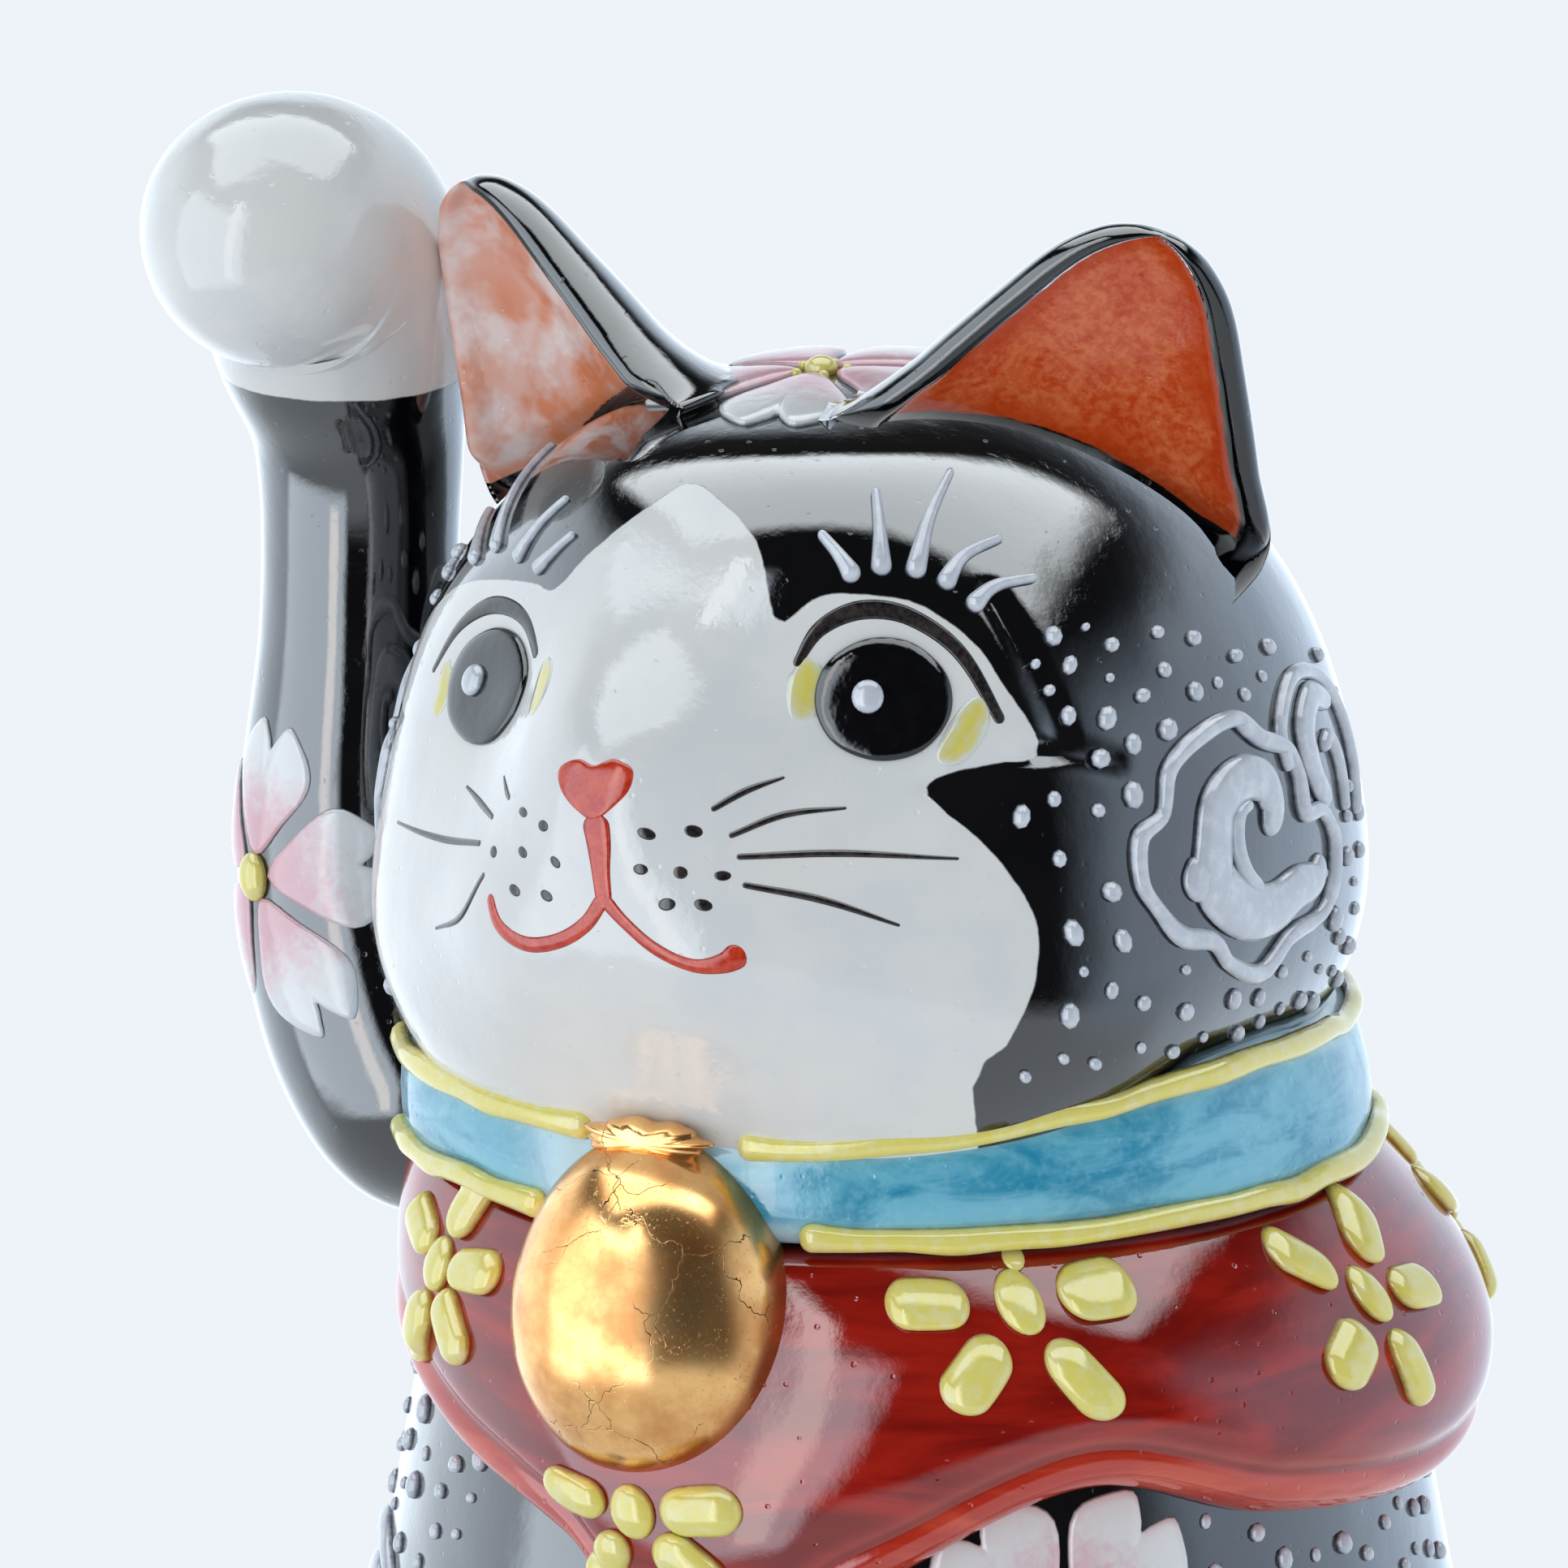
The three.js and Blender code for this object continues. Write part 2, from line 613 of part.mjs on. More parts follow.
const mirroredFoot = HIND_FOOT.map(([x, y, z, radius]) => [-x, y, z, radius]);
const standing = boxAbove(0);
const lowPieces = {
  left_foreleg: limb(LEFT_FORELEG, 0, 14, 12),
  left_hind_foot: limb(HIND_FOOT, 0, 10, 12),
  right_hind_foot: limb(mirroredFoot, 0, 10, 12),
  tail: limb(TAIL, 0, 14, 10),
};
for (const [name, shape] of Object.entries(lowPieces)) {
  add(name, without(shape, bodyAllowance, bib).intersect(standing), "blackGlaze");
}

add("bib", without(bib, bellAllowance), "redGlaze");
add("collar_band", collar, "blueEnamel");
const pipedEdges = {
  upper: [PIPING.high, (azimuth) => collarTop(azimuth) - PIPING.width / 2],
  lower: [PIPING.low, () => COLLAR.low + PIPING.width / 2],
};
for (const [edge, [runs, height]] of Object.entries(pipedEdges)) {
  for (const [side, ends] of Object.entries(runs)) {
    add(`collar_piping_${edge}_${side}`, without(piping(ends, height), headAllowance), "yellowEnamel");
  }
}
add("bell", without(bellSolid(0), headAllowance, bodyAllowance, collarSolid(GAP)), "gold");
const { lug } = BELL;
const lugCentre = [BELL.centre.x, BELL.centre.y - 0.6, BELL.centre.z + lug.rise];
const lugRadii = [lug.width / 2, lug.depth / 2, lug.height / 2];
add(
  "bell_lug",
  without(ellipsoid(lugCentre, lugRadii, 14, 8), headAllowance, bellAllowance, collarSolid(GAP)),
  "gold",
);

for (const [side, sign] of [["left", 1], ["right", -1]]) {
  const eye = headPatch([sign * EYE.azimuth, EYE.elevation]);
  const raisedEye = (x, y, height) => eye(x, y, height + EYE.height + GAP);
  add(`${side}_pupil`, dome(EYE.radius, EYE.height, eye), "blackGlaze");
  add(`${side}_eye_highlight`, dome(EYE.highlight, 0.5, raisedEye, 4, 8), "whiteEnamel");
  LASHES.forEach(({ root, tip }, i) => {
    const patch = headPatch([sign * root[0], root[1]]);
    const reach = headRadius(...root) * rad(1);
    const x = sign * (tip[0] - root[0]) * reach * Math.cos(rad(root[1]));
    const y = (tip[1] - root[1]) * reach;
    const points = [[0, 0], [x / 2, y / 2], [x, y]];
    add(`${side}_eyelash_${i + 1}`, bead(points, LASH, patch, { taper: 0.5 }), "whiteEnamel");
  });
}

for (const [name, scroll] of [["large", LARGE_SCROLL], ["small", SMALL_SCROLL]]) {
  const patch = headPatch([scroll.azimuth, scroll.elevation], scroll.angle);
  const line = bead(spiral(scroll), SCROLL_BEAD, patch, { steps: 30, sides: 5 });
  add(`${name}_cheek_scroll`, line, "whiteEnamel");
}

for (let i = 0; i < 5; i++) {
  const patch = headPatch([CROWN_BLOSSOM.azimuth, CROWN_BLOSSOM.elevation], i * 72 + CROWN_BLOSSOM.turn);
  add(`crown_petal_${i + 1}`, petal(CROWN_BLOSSOM.petal, CROWN_BLOSSOM.height, patch), "whiteEnamel");
}

for (const { name, azimuth, height, dabs } of BIB_BLOSSOMS) {
  const { length, reach, middle } = DAB;
  const points = [[reach - length / 2, 0], [reach, 0], [reach + length / 2, 0]];
  dabs.forEach((angle, i) => {
    const shape = bead(points, DAB, bibPatch([azimuth, height], angle));
    add(`${name}_blossom_dab_${i + 1}`, shape, "yellowEnamel");
  });
  const place = bibPatch([azimuth, height], 0);
  add(`${name}_blossom_middle`, dome(middle / 2, 1, place, 4, 8), "yellowEnamel");
}
const dot = bibPatch([LEFT_BLOSSOM_DOT.azimuth, LEFT_BLOSSOM_DOT.height], 0);
add("left_blossom_dot", dome(LEFT_BLOSSOM_DOT.radius, 0.5, dot, 4, 6), "yellowEnamel");

export default cat;
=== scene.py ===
import math
import random

import bmesh
import bpy
import numpy as np
from mathutils import Matrix, Vector


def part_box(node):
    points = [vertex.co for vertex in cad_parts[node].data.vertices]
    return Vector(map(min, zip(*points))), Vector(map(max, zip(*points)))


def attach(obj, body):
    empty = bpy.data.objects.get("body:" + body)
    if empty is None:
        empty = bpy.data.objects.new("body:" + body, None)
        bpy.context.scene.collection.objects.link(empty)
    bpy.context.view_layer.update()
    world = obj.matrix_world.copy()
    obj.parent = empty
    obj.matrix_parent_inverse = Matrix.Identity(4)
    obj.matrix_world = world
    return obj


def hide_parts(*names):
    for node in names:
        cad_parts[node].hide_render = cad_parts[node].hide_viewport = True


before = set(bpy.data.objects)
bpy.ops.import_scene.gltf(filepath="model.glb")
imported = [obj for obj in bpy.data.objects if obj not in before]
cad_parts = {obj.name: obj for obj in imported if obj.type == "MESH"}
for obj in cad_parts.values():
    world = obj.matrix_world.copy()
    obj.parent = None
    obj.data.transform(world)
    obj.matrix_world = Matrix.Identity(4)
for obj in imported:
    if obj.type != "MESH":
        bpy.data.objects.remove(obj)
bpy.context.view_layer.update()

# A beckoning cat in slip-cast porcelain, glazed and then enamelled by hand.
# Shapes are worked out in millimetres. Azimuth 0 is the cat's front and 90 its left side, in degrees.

MM = 0.001

# ---------------------------------------------------------------- camera

# Where the camera looks, in metres, from which side and how far off, and its lens.
TARGET = (-0.0074, -0.0036, 0.1275)
VIEW = {"azimuth": 25.5, "elevation": 12, "distance": 0.6, "lens": 178.9}


def make_camera():
    across, up = math.radians(VIEW["azimuth"]), math.radians(VIEW["elevation"])
    back = Vector((math.sin(across) * math.cos(up), -math.cos(across) * math.cos(up), math.sin(up)))
    camera = bpy.data.objects.new("camera", bpy.data.cameras.new("camera"))
    camera.data.lens, camera.data.sensor_width = VIEW["lens"], 36
    camera.data.clip_start, camera.data.clip_end = 0.05, 50
    camera.location = Vector(TARGET) + back * VIEW["distance"]
    camera.rotation_euler = (-back).to_track_quat("-Z", "Y").to_euler()
    bpy.context.collection.objects.link(camera)
    bpy.context.scene.camera = camera


make_camera()

# ---------------------------------------------------------------- shapes of the figure

NECK = 103.5
HEAD = {"centre": (0, -4.5, 129), "radii": (35, 35.5, 32), "squareness": 2.12, "turn": -4}
FACE_RADIUS = 38
# Swellings of the head: azimuth, elevation, height, spread across and up, and whether it is on both sides.
HEAD_SWELLINGS = [
    (0, 10, 6, 15, 13, False),  # nose bridge
    (0, -10, 5, 24, 13, False),  # muzzle
    (15, -6, 1, 10, 10, True),  # whisker pads
    (50, -20, 3.4, 30, 18, True),  # jowls
    (0, -38, 4, 60, 14, False),  # chin
    (27, 18, -1.8, 13, 12, True),  # eye sockets
    (27, 50, 1.2, 22, 13, True),  # brows
    (0, 40, 2.8, 26, 14, False),  # forehead
    (130, -20, 2.2, 45, 20, True),  # nape
    (180, -22, 7.5, 50, 34, False),  # back of the head
]
# Sections of the body: height, half width, reach to the front and to the back.
BODY_SECTIONS = [
    (0, 43, 40, 37),
    (4, 46, 43, 40),
    (24, 47.5, 44.5, 44),
    (45, 45.5, 43.5, 43),
    (67, 41, 42, 40),
    (85, 37.5, 39.5, 36.5),
    (96, 34.5, 36, 33.5),
    (NECK, 31.5, 32.5, 30.5),
]
BODY_SQUARENESS = 2.15
BODY_AXIS = (1.5, 2.5)
BODY_REACH = 43
HAUNCH = {"at": (66, 22), "swell": 4.5, "spread": (28, 20), "groove": 0.9, "reach": (34, 27)}

EAR = {
    "foot": (21, -8.6, 25.3),
    "width": (24.3, 15.6, -9.6),
    "facing": (0.455, -0.849, -0.25),
    "half": 16.2,
    "height": 21.6,
    "rim": 2.3,
    "back": 0.62,
    "hollow": 0.36,
    "fillet": 4.5,
}
# Along an ear from its foot to its tip: half width and height, as shares.
EAR_PROFILE = [
    (0, 0.86, -0.42), (0.22, 1, 0), (0.4, 0.81, 0.3), (0.6, 0.6, 0.6),
    (0.76, 0.43, 0.82), (0.88, 0.27, 0.94), (0.95, 0.13, 0.99), (1, 0, 1),
]

# Limbs: centre and radius along each one.
RAISED_ARM = [
    (-33, 0, 93, 8.6), (-39.5, 0, 98, 10.2), (-44.2, 0, 106.5, 10.6), (-46.7, 0, 119, 9.7),
    (-46.4, 0, 137, 7.9),
    (-46, -0.4, 151, 8.3), (-45.8, -3, 159, 10), (-45.4, -7.5, 167, 11),
    (-45.2, -14, 169.2, 10.8), (-45, -20, 167.6, 9.6), (-44.9, -25.5, 165.4, 7.4),
]
FORELEG = [
    (16, -27, 74, 8), (16, -33, 58, 9.4), (15.5, -36, 38, 9.2),
    (15, -38, 18, 8.8), (15, -42, 9.4, 9), (15, -49, 8, 8),
]
HIND_FOOT = [(31, -24, 12, 11), (33.5, -33, 9.6, 9.6), (34.5, -45, 8, 7.8)]
TAIL = [(2, 40, 30, 6.5), (14, 47, 22, 7), (30, 43, 17, 6.8), (43, 30, 16.5, 6.2), (50, 14, 17.5, 5.4)]
SLEEVE = {"top": 156.6, "middle": -46, "waver": 0.5}

COLLAR = {"radius": 37.2, "low": 100.8, "high": 110, "tilt": 1.3, "depth": 7, "rise": (66, 3.2, 32)}
BELL_DEPTH = 9.6
PIPING = {"width": 2, "rise": 1.2}
PIPING_RUNS = {
    "low": {"right": (-17.5, -60), "left": (14.6, 240)},
    "high": {"right": (-10.6, -60), "left": (7.6, 240)},
}
BIB = {"top": 100.4, "radius": 36.8, "tuck": 1.4, "thickness": 3, "roll": 1.3}
# By azimuth: the height of the bib's hem, and how far the bib swells out.
BIB_HEM = [
    (-180, 77), (-145, 79), (-110, 85), (-85, 89), (-62, 87), (-45, 84.5), (-27, 80.5), (-12, 76.5), (-5, 72),
    (3, 70), (11, 71.4), (18, 75), (41, 82.5), (63, 78.5), (88, 76), (115, 76.5), (150, 79), (180, 77),
]
BIB_SWELL = [
    (-180, 6), (-130, 4.5), (-90, 1.5), (-46, 1.5), (-25, 3),
    (-8, 4.6), (20, 4.6), (60, 5.5), (90, 6), (180, 6),
]

# ---------------------------------------------------------------- painting, by azimuth and elevation

WHITE_FACE = [
    (-1, 45), (3.4, 44.4), (13.2, 38.4), (16.9, 29.4), (21.6, 32.3), (27, 33.2), (35.7, 32.3), (43, 27.5),
    (46.6, 21.5), (50.3, 14), (45, 13), (39.8, 12.3), (35.8, 10), (41.2, 5), (44.8, 1), (47.8, -4.4),
    (48, -8.7), (47, -13), (44.4, -18), (41, -23), (38, -50), (-42, -50), (-50, -24), (-56, -15),
    (-59, -6), (-57, 1), (-52, 7), (-49, 9.5), (-55, 10.5), (-63, 12), (-59.7, 18.3), (-48, 26.5),
    (-36.6, 29.7), (-24.2, 30.8), (-18, 30.4), (-12.7, 34.8), (-6.4, 40),
]
CREASES = [
    [(46.5, 33), (50, 25), (53, 16)],
    [(50.5, 14), (55, 13.4), (60, 12)],
    [(36, 10.5), (43, 12.4), (50, 14)],
]
CREASE = {"depth": 0.45, "width": 0.8}
EYES = {"left": (31, 21), "right": (-28.6, 17.6)}
PUPILS = {"left": (4.95, 4.45), "right": (5.5, 4.4)}
PUPIL = {"rise": 1.0, "highlight": (1.15, 1.2)}
LIDS = {
    "left": [(19.7, 24.6), (22.6, 29), (28, 31.4), (34.5, 30.8), (41, 26.4), (45.6, 17.6)],
    "right": [(-43.5, 16.4), (-41, 22.5), (-36, 26.2), (-30, 27.4), (-24, 26.4), (-18.6, 22.4)],
}
EYE_CORNERS = {
    "left": [((20.8, 22), 80, 4.6, 2.9), ((40.6, 17), 52, 5.6, 2.6)],
    "right": [((-39.6, 15.2), 100, 4.4, 2), ((-14.6, 19), 100, 4.6, 2.2)],
}
LASHES = {
    "left": [
        [(27.4, 34.6), (25, 37.4), (22, 40)],
        [(31, 35.4), (30.8, 41), (30.3, 46.4)],
        [(35.5, 35.2), (38.5, 42.5), (44.5, 50.3)],
        [(39.5, 34), (43, 37.8), (50, 40.4)],
        [(43, 31.4), (47, 34), (54, 35)],
    ],
    "right": [
        [(-60.4, 26), (-60.8, 27.2), (-61, 28.4)],
        [(-44, 30.6), (-50, 33.5), (-60.6, 36)],
        [(-37.8, 33), (-45, 39), (-58.6, 47.4)],
        [(-30, 32.6), (-27.5, 36.6), (-22.4, 41.2)],
        [(-23.7, 32), (-20.5, 34.4), (-16.9, 37)],
    ],
}
LASH_WIDTH = {"left": 1.15, "right": 0.85}
NOSE = [
    (-3.9, 10.8), (-1.6, 11.9), (0.4, 11.5), (2.4, 12.3), (4.5, 11.4),
    (4.3, 9.2), (2.4, 7), (0.9, 6.2), (-1, 7), (-3.2, 8.8),
]
# Rows of azimuth, elevation and share of the stroke's width.
PHILTRUM = [(1.1, 6.8, 1.5), (1.6, 4, 1.3), (1.8, 1, 1), (2.1, -2.2, 0.9)]
MOUTH = {
    "right": [
        (2, -1.6, 1), (0, -4.4, 1), (-3.4, -6.6, 1), (-7.8, -7.6, 1.05), (-11.6, -6.4, 1), (-13.6, -3.6, 0.8),
    ],
    "left": [
        (2, -1.6, 1), (4.2, -3.8, 0.8), (7.6, -6.4, 0.8),
        (11.4, -7.9, 0.9), (14.4, -7.6, 1.4), (16.4, -6.4, 2.1),
    ],
}
WHISKERS = {
    "left": [
        [(12.3, 7.8), (15.6, 10), (19.4, 11.6)],
        [(14.2, 5.1), (19.6, 7.4), (26.6, 8.2)],
        [(15.1, 3), (26, 3.2), (39.4, 2.4)],
        [(15.9, 0.2), (24, -1.6), (32.6, -4.6)],
    ],
    "right": [
        [(-12.8, 6.4), (-14, 7), (-16.2, 8.4)],
        [(-16.1, 3.8), (-20.6, 4.6), (-26, 5.6)],
        [(-17.6, 0.8), (-28, -0.8), (-42, -1.6)],
        [(-15.2, -1.8), (-19.5, -7.2), (-27, -10.4)],
    ],
}
WHISKER_SPOTS = {
    "left": [(6.4, 5.2), (10.8, 5.6), (5.9, 1.6), (9.8, 1.4), (13.9, 1.1), (8.6, -1.8), (12.2, -1.8)],
    "right": [(-5.4, 4.8), (-14.2, 0.6), (-9.2, 5.6), (-8.6, 1.6), (-3.6, 1.4), (-9.4, -2.4), (-4.8, -2.2)],
}
CROWN_BLOSSOM = {"at": (-14, 81), "length": 13.4, "width": 10, "rise": 0.9, "angle": -10}

# The cloud scroll, in millimetres about its middle: its wavy border, then its inner strokes and their widths.
CLOUD_BORDER = [
    (0.7, 9.2), (3.3, 7.3), (7.2, 5.9), (8.5, 3.3), (8.9, 0.6), (12.5, 0), (14.5, -2.6), (13.9, -5.9),
    (11.9, -7.9), (5.9, -8.5), (2, -10.4), (-2.6, -8.6), (-4.6, -6.6), (-8.3, -5.6), (-10.6, -3.3),
    (-11.9, -1.3), (-11.6, 2), (-9.2, 3.3), (-7.9, 6.6), (-4, 8.6),
]
CLOUD_SWIRLS = [
    ([
        (2.9, -0.2, 0.62), (3.9, 1.8, 0.95), (3, 3.9, 1.12), (0, 4.6, 1.15), (-3, 3.2, 1.2),
        (-4, 0.4, 1.25), (-4.2, -2.4, 1.45), (-1, -4.9, 1.4), (3, -5.7, 1.3), (7, -5, 1.15),
        (10.4, -4.8, 0.9), (11.6, -3.2, 0.5),
    ], 3.2),
    ([(-4.2, -1.4, 0.8), (-6.4, -1.9, 1.1), (-7.6, -2, 0.95)], 3.2),
    ([(1.6, -5.4, 0.9), (1, -6.6, 0.95)], 3.4),
    ([(0.8, 2.7, 0.8), (-0.9, 2.1, 1), (-1.4, 0, 1.05), (-0.6, -2.2, 1.1), (1.2, -3.8, 1)], 1.3),
]
SMALL_CLOUD_CURLS = [
    ([
        (-6, -2, 0.9), (-6.3, 1.4, 1), (-2.6, 4.4, 1), (2.6, 4, 1),
        (6.6, 1, 1), (8.2, -3.4, 1), (7.4, -8, 0.8),
    ], 1.4),
    ([(4.6, 1.4, 0.7), (0.6, 2.4, 1), (-2.2, 0.4, 1.15), (-1.6, -3, 1), (0.4, -5.8, 0.9)], 2.6),
    ([(0.6, -1.6, 1), (2.4, -1, 1), (3.8, -3.2, 1), (4, -7, 0.8)], 1.3),
]

# Blossoms on the bib, by azimuth and height: the angle of each dab and its distance from the middle.
BIB_BLOSSOMS = {
    "front": ((-2, 81.3), [(175, 5.4), (8, 5.4), (238, 5.4), (318, 5.6)]),
    "left": ((38, 97.2), [(180, 6.7), (4, 6.1), (228, 6.2), (298, 6)]),
    "right": ((-35, 94.6), [(8, 5.4), (69, 5.6), (159, 5.2), (250, 5.6), (316, 5.4)]),
    "flank": ((81, 93.5), [(147, 6.4), (44, 6), (-8, 6.4), (210, 6.4), (278, 5.8)]),
    "back_left": ((128, 92), [(20, 6), (92, 6), (160, 6), (234, 6), (306, 6)]),
    "back": ((176, 91), [(10, 6), (84, 6), (158, 6), (228, 6), (300, 6)]),
    "back_right": ((-138, 92), [(20, 6), (92, 6), (160, 6), (234, 6), (306, 6)]),
}
BEAD_GAP = 2.5
DAB = {"length": 6.2, "width": 3.3, "rise": 1.35, "middle": (2.1, 1.75)}
BLOSSOM_DOT = {"at": (38.6, 99.9), "radius": 0.85}

# On the body, by azimuth and height: blossoms with the angle of the first petal and a size, then clouds.
BODY_BLOSSOMS = [
    ((39.5, 70), 36, 1.28), ((-18, 54), 70, 1.1), ((98, 52), 30, 1.1),
    ((150, 62), 10, 1), ((-140, 50), 40, 1.1),
]
BODY_CLOUDS = [((-60, 60), 1), ((76, 56), 0.8), ((-104, 40), 0.9), ((126, 34), 0.9), ((178, 46), 0.8)]
ARM_BLOSSOM = {"at": (-29, 117), "length": 12.4, "width": 9.4, "angle": -8}

# ---------------------------------------------------------------- curves and skins


def along(rows, place):
    """Values at some places on a smooth curve through rows of (place, value, ...)."""
    rows = np.asarray(rows, float)
    place = np.atleast_1d(np.asarray(place, float))
    keys, values = rows[:, 0], rows[:, 1:]
    i = np.clip(np.searchsorted(keys, place, side="right") - 1, 0, len(keys) - 2)
    before, after = np.maximum(i - 1, 0), np.minimum(i + 2, len(keys) - 1)
    span = (keys[i + 1] - keys[i])[:, None]
    t = np.clip((place[:, None] - keys[i][:, None]) / span, 0, 1)
    leave = (values[i + 1] - values[before]) / (keys[i + 1] - keys[before])[:, None] * span
    arrive = (values[after] - values[i]) / (keys[after] - keys[i])[:, None] * span
    bend = values[i] * (1 + 2 * t) * (1 - t) ** 2 + values[i + 1] * t * t * (3 - 2 * t)
    return bend + leave * t * (1 - t) ** 2 - arrive * t * t * (1 - t)


def keyed(points):
    """Points with their share of the way along in front."""
    points = np.asarray(points, float)
    steps = np.linalg.norm(np.diff(points[:, :2], axis=0), axis=1)
    if points.shape[1] > 3:
        steps = np.linalg.norm(np.diff(points[:, :3], axis=0), axis=1)
    way = np.concatenate([[0], np.cumsum(steps)])
    return np.column_stack([way / way[-1], points])


def unit(vectors):
    vectors = np.asarray(vectors, float)
    return vectors / np.maximum(np.linalg.norm(vectors, axis=-1, keepdims=True), 1e-9)


def smooth_step(value):
    value = np.clip(value, 0, 1)
    return value * value * (3 - 2 * value)


def direction(azimuth, elevation):
    a, e = np.radians(azimuth), np.radians(elevation)
    return np.stack([np.sin(a) * np.cos(e), -np.cos(a) * np.cos(e), np.sin(e) + 0 * a], axis=-1)


def angles(directions):
    x, y, z = np.asarray(directions).T
    return np.degrees(np.arctan2(x, -y)), np.degrees(np.arcsin(np.clip(z, -1, 1)))


def turned_away(azimuth, from_azimuth):
    return (np.asarray(azimuth) - from_azimuth + 180) % 360 - 180


def head_radius(azimuth, elevation):
    way = np.abs(direction(azimuth, elevation)) / HEAD["radii"]
    radius = (way ** HEAD["squareness"]).sum(-1) ** (-1 / HEAD["squareness"])
    for at, rise, height, across, up, both in HEAD_SWELLINGS:
        for side in (1, -1) if both else (1,):
            off = turned_away(azimuth, side * at) * np.cos(np.radians(elevation)) / across
            radius = radius + height * np.exp(-(off**2) - ((elevation - rise) / up) ** 2)
    return radius


def set_on_head(points):
    turn = math.radians(HEAD["turn"])
    c, s = math.cos(turn), math.sin(turn)
    x, y, z = np.asarray(points).T
    return np.stack([x * c - y * s, x * s + y * c, z], axis=-1) + HEAD["centre"]


def head_towards(directions, raised=0):
    """Points of the head's skin in these directions from its centre, before it is turned."""
    directions = unit(directions)
    radius = head_radius(*angles(directions)) + raised
    return set_on_head(directions * radius[..., None])


def head_clearance(points):
    """How far points, in the head's own frame, stand outside its skin."""
    return np.linalg.norm(points, axis=-1) - head_radius(*angles(unit(points)))


def head_patch(at, angle=0):
    """Two maps at a place on the head: from flat millimetres to space, and from its angles to flat."""
    outward = direction(*at)
    flat = head_radius(*at)
    right = unit(np.cross((0, 0, 1), outward))
    above = np.cross(outward, right)
    c, s = math.cos(math.radians(angle)), math.sin(math.radians(angle))
    right, above = right * c + above * s, above * c - right * s

    def place(x, y, raised):
        return head_towards(outward * flat + np.outer(x, right) + np.outer(y, above), raised)

    def flatten(points):
        ways = direction(*np.asarray(points, float)[:, :2].T)
        scale = flat / (ways @ outward)
        rest = np.asarray(points, float)[:, 2:]
        return np.column_stack([ways @ right * scale, ways @ above * scale, rest])

    return place, flatten


def wall_patch(wall, at, angle=0, reach=None):
    """The map from flat millimetres to space on an upright wall, given as points by azimuth and height."""
    if reach is None:
        reach = float(np.linalg.norm(wall(np.array([at[0]]), np.array([at[1]]), 0)[0][:2]))
    c, s = math.cos(math.radians(angle)), math.sin(math.radians(angle))

    def place(x, y, raised):
        return wall(at[0] + np.degrees((x * c - y * s) / reach), at[1] + x * s + y * c, raised)

    return place


def body_radius(azimuth, height):
    half, front, back = along(BODY_SECTIONS, height).T
    x, y, _ = direction(azimuth, 0).T
    reach = np.where(y < 0, front, back)
    total = np.abs(x / half) ** BODY_SQUARENESS + np.abs(y / reach) ** BODY_SQUARENESS
    away = np.abs(turned_away(azimuth, 0)) - HAUNCH["at"][0]
    above = np.asarray(height) - HAUNCH["at"][1]
    swell = np.exp(-((away / HAUNCH["spread"][0]) ** 2) - (above / HAUNCH["spread"][1]) ** 2)
    # A shallow groove follows the thigh's upper edge.
    edge = np.hypot(away / HAUNCH["reach"][0], above / HAUNCH["reach"][1])
    groove = np.exp(-(((edge - 1) / 0.055) ** 2)) * smooth_step(above / 14 + 0.7)
    return total ** (-1 / BODY_SQUARENESS) + HAUNCH["swell"] * swell - HAUNCH["groove"] * groove


def body_wall(azimuth, height, raised=0):
    azimuth, height = np.broadcast_arrays(np.asarray(azimuth, float), np.asarray(height, float))
    skin = direction(azimuth, 0) * (body_radius(azimuth, height) + raised)[..., None]
    return skin + np.stack([0 * height + BODY_AXIS[0], 0 * height + BODY_AXIS[1], height], axis=-1)


def body_clearance(points):
    x, y = points[:, 0] - BODY_AXIS[0], points[:, 1] - BODY_AXIS[1]
    azimuth = np.degrees(np.arctan2(x, -y))
    return np.hypot(x, y) - body_radius(azimuth, np.clip(points[:, 2], 0, NECK))


def bib_hem(azimuth):
    return along(BIB_HEM, turned_away(azimuth, 0))[:, 0]


def bib_wall(azimuth, height, raised=0):
    azimuth, height = np.broadcast_arrays(np.asarray(azimuth, float), np.asarray(height, float))
    hem = bib_hem(azimuth)
    drop = np.clip((BIB["top"] - height) / (BIB["top"] - hem), 0, 1)
    share = smooth_step(drop)
    foot = body_radius(azimuth, hem) + BIB["tuck"]
    lean = BIB["radius"] * (1 - share) + foot * share
    swell = along(BIB_SWELL, turned_away(azimuth, 0))[:, 0] * np.sin(np.pi * drop) ** 0.8
    up = height - hem
    # The hem is a soft roll with a crease above it.
    roll = 0.55 * np.exp(-(((up - 1.8) / 1.3) ** 2)) - 0.35 * np.exp(-(((up - 4.1) / 0.7) ** 2))
    skin = direction(azimuth, 0) * (lean + swell + roll + raised)[..., None]
    return skin + np.stack([BODY_AXIS[0] * share, BODY_AXIS[1] * share, height], axis=-1)


def collar_top(azimuth):
    at, height, spread = COLLAR["rise"]
    rise = height * np.exp(-((turned_away(azimuth, at) / spread) ** 2))
    return COLLAR["high"] - COLLAR["tilt"] * np.cos(np.radians(azimuth)) + rise


def collar_lean(azimuth):
    """How far the band's top leans in, to meet the head all the way round."""
    way = direction(azimuth, 0)
    reach = np.full(len(way), COLLAR["radius"])
    lift = collar_top(azimuth) - HEAD["centre"][2]
    turn = math.radians(HEAD["turn"])
    c, s = math.cos(turn), math.sin(turn)
    for _ in range(12):
        x, y = way[:, 0] * reach - HEAD["centre"][0], way[:, 1] * reach - HEAD["centre"][1]
        in_head = np.stack([x * c + y * s, y * c - x * s, lift], axis=-1)
        reach = reach - head_clearance(in_head)
    return np.clip(COLLAR["radius"] - reach - 1, 0, 6)


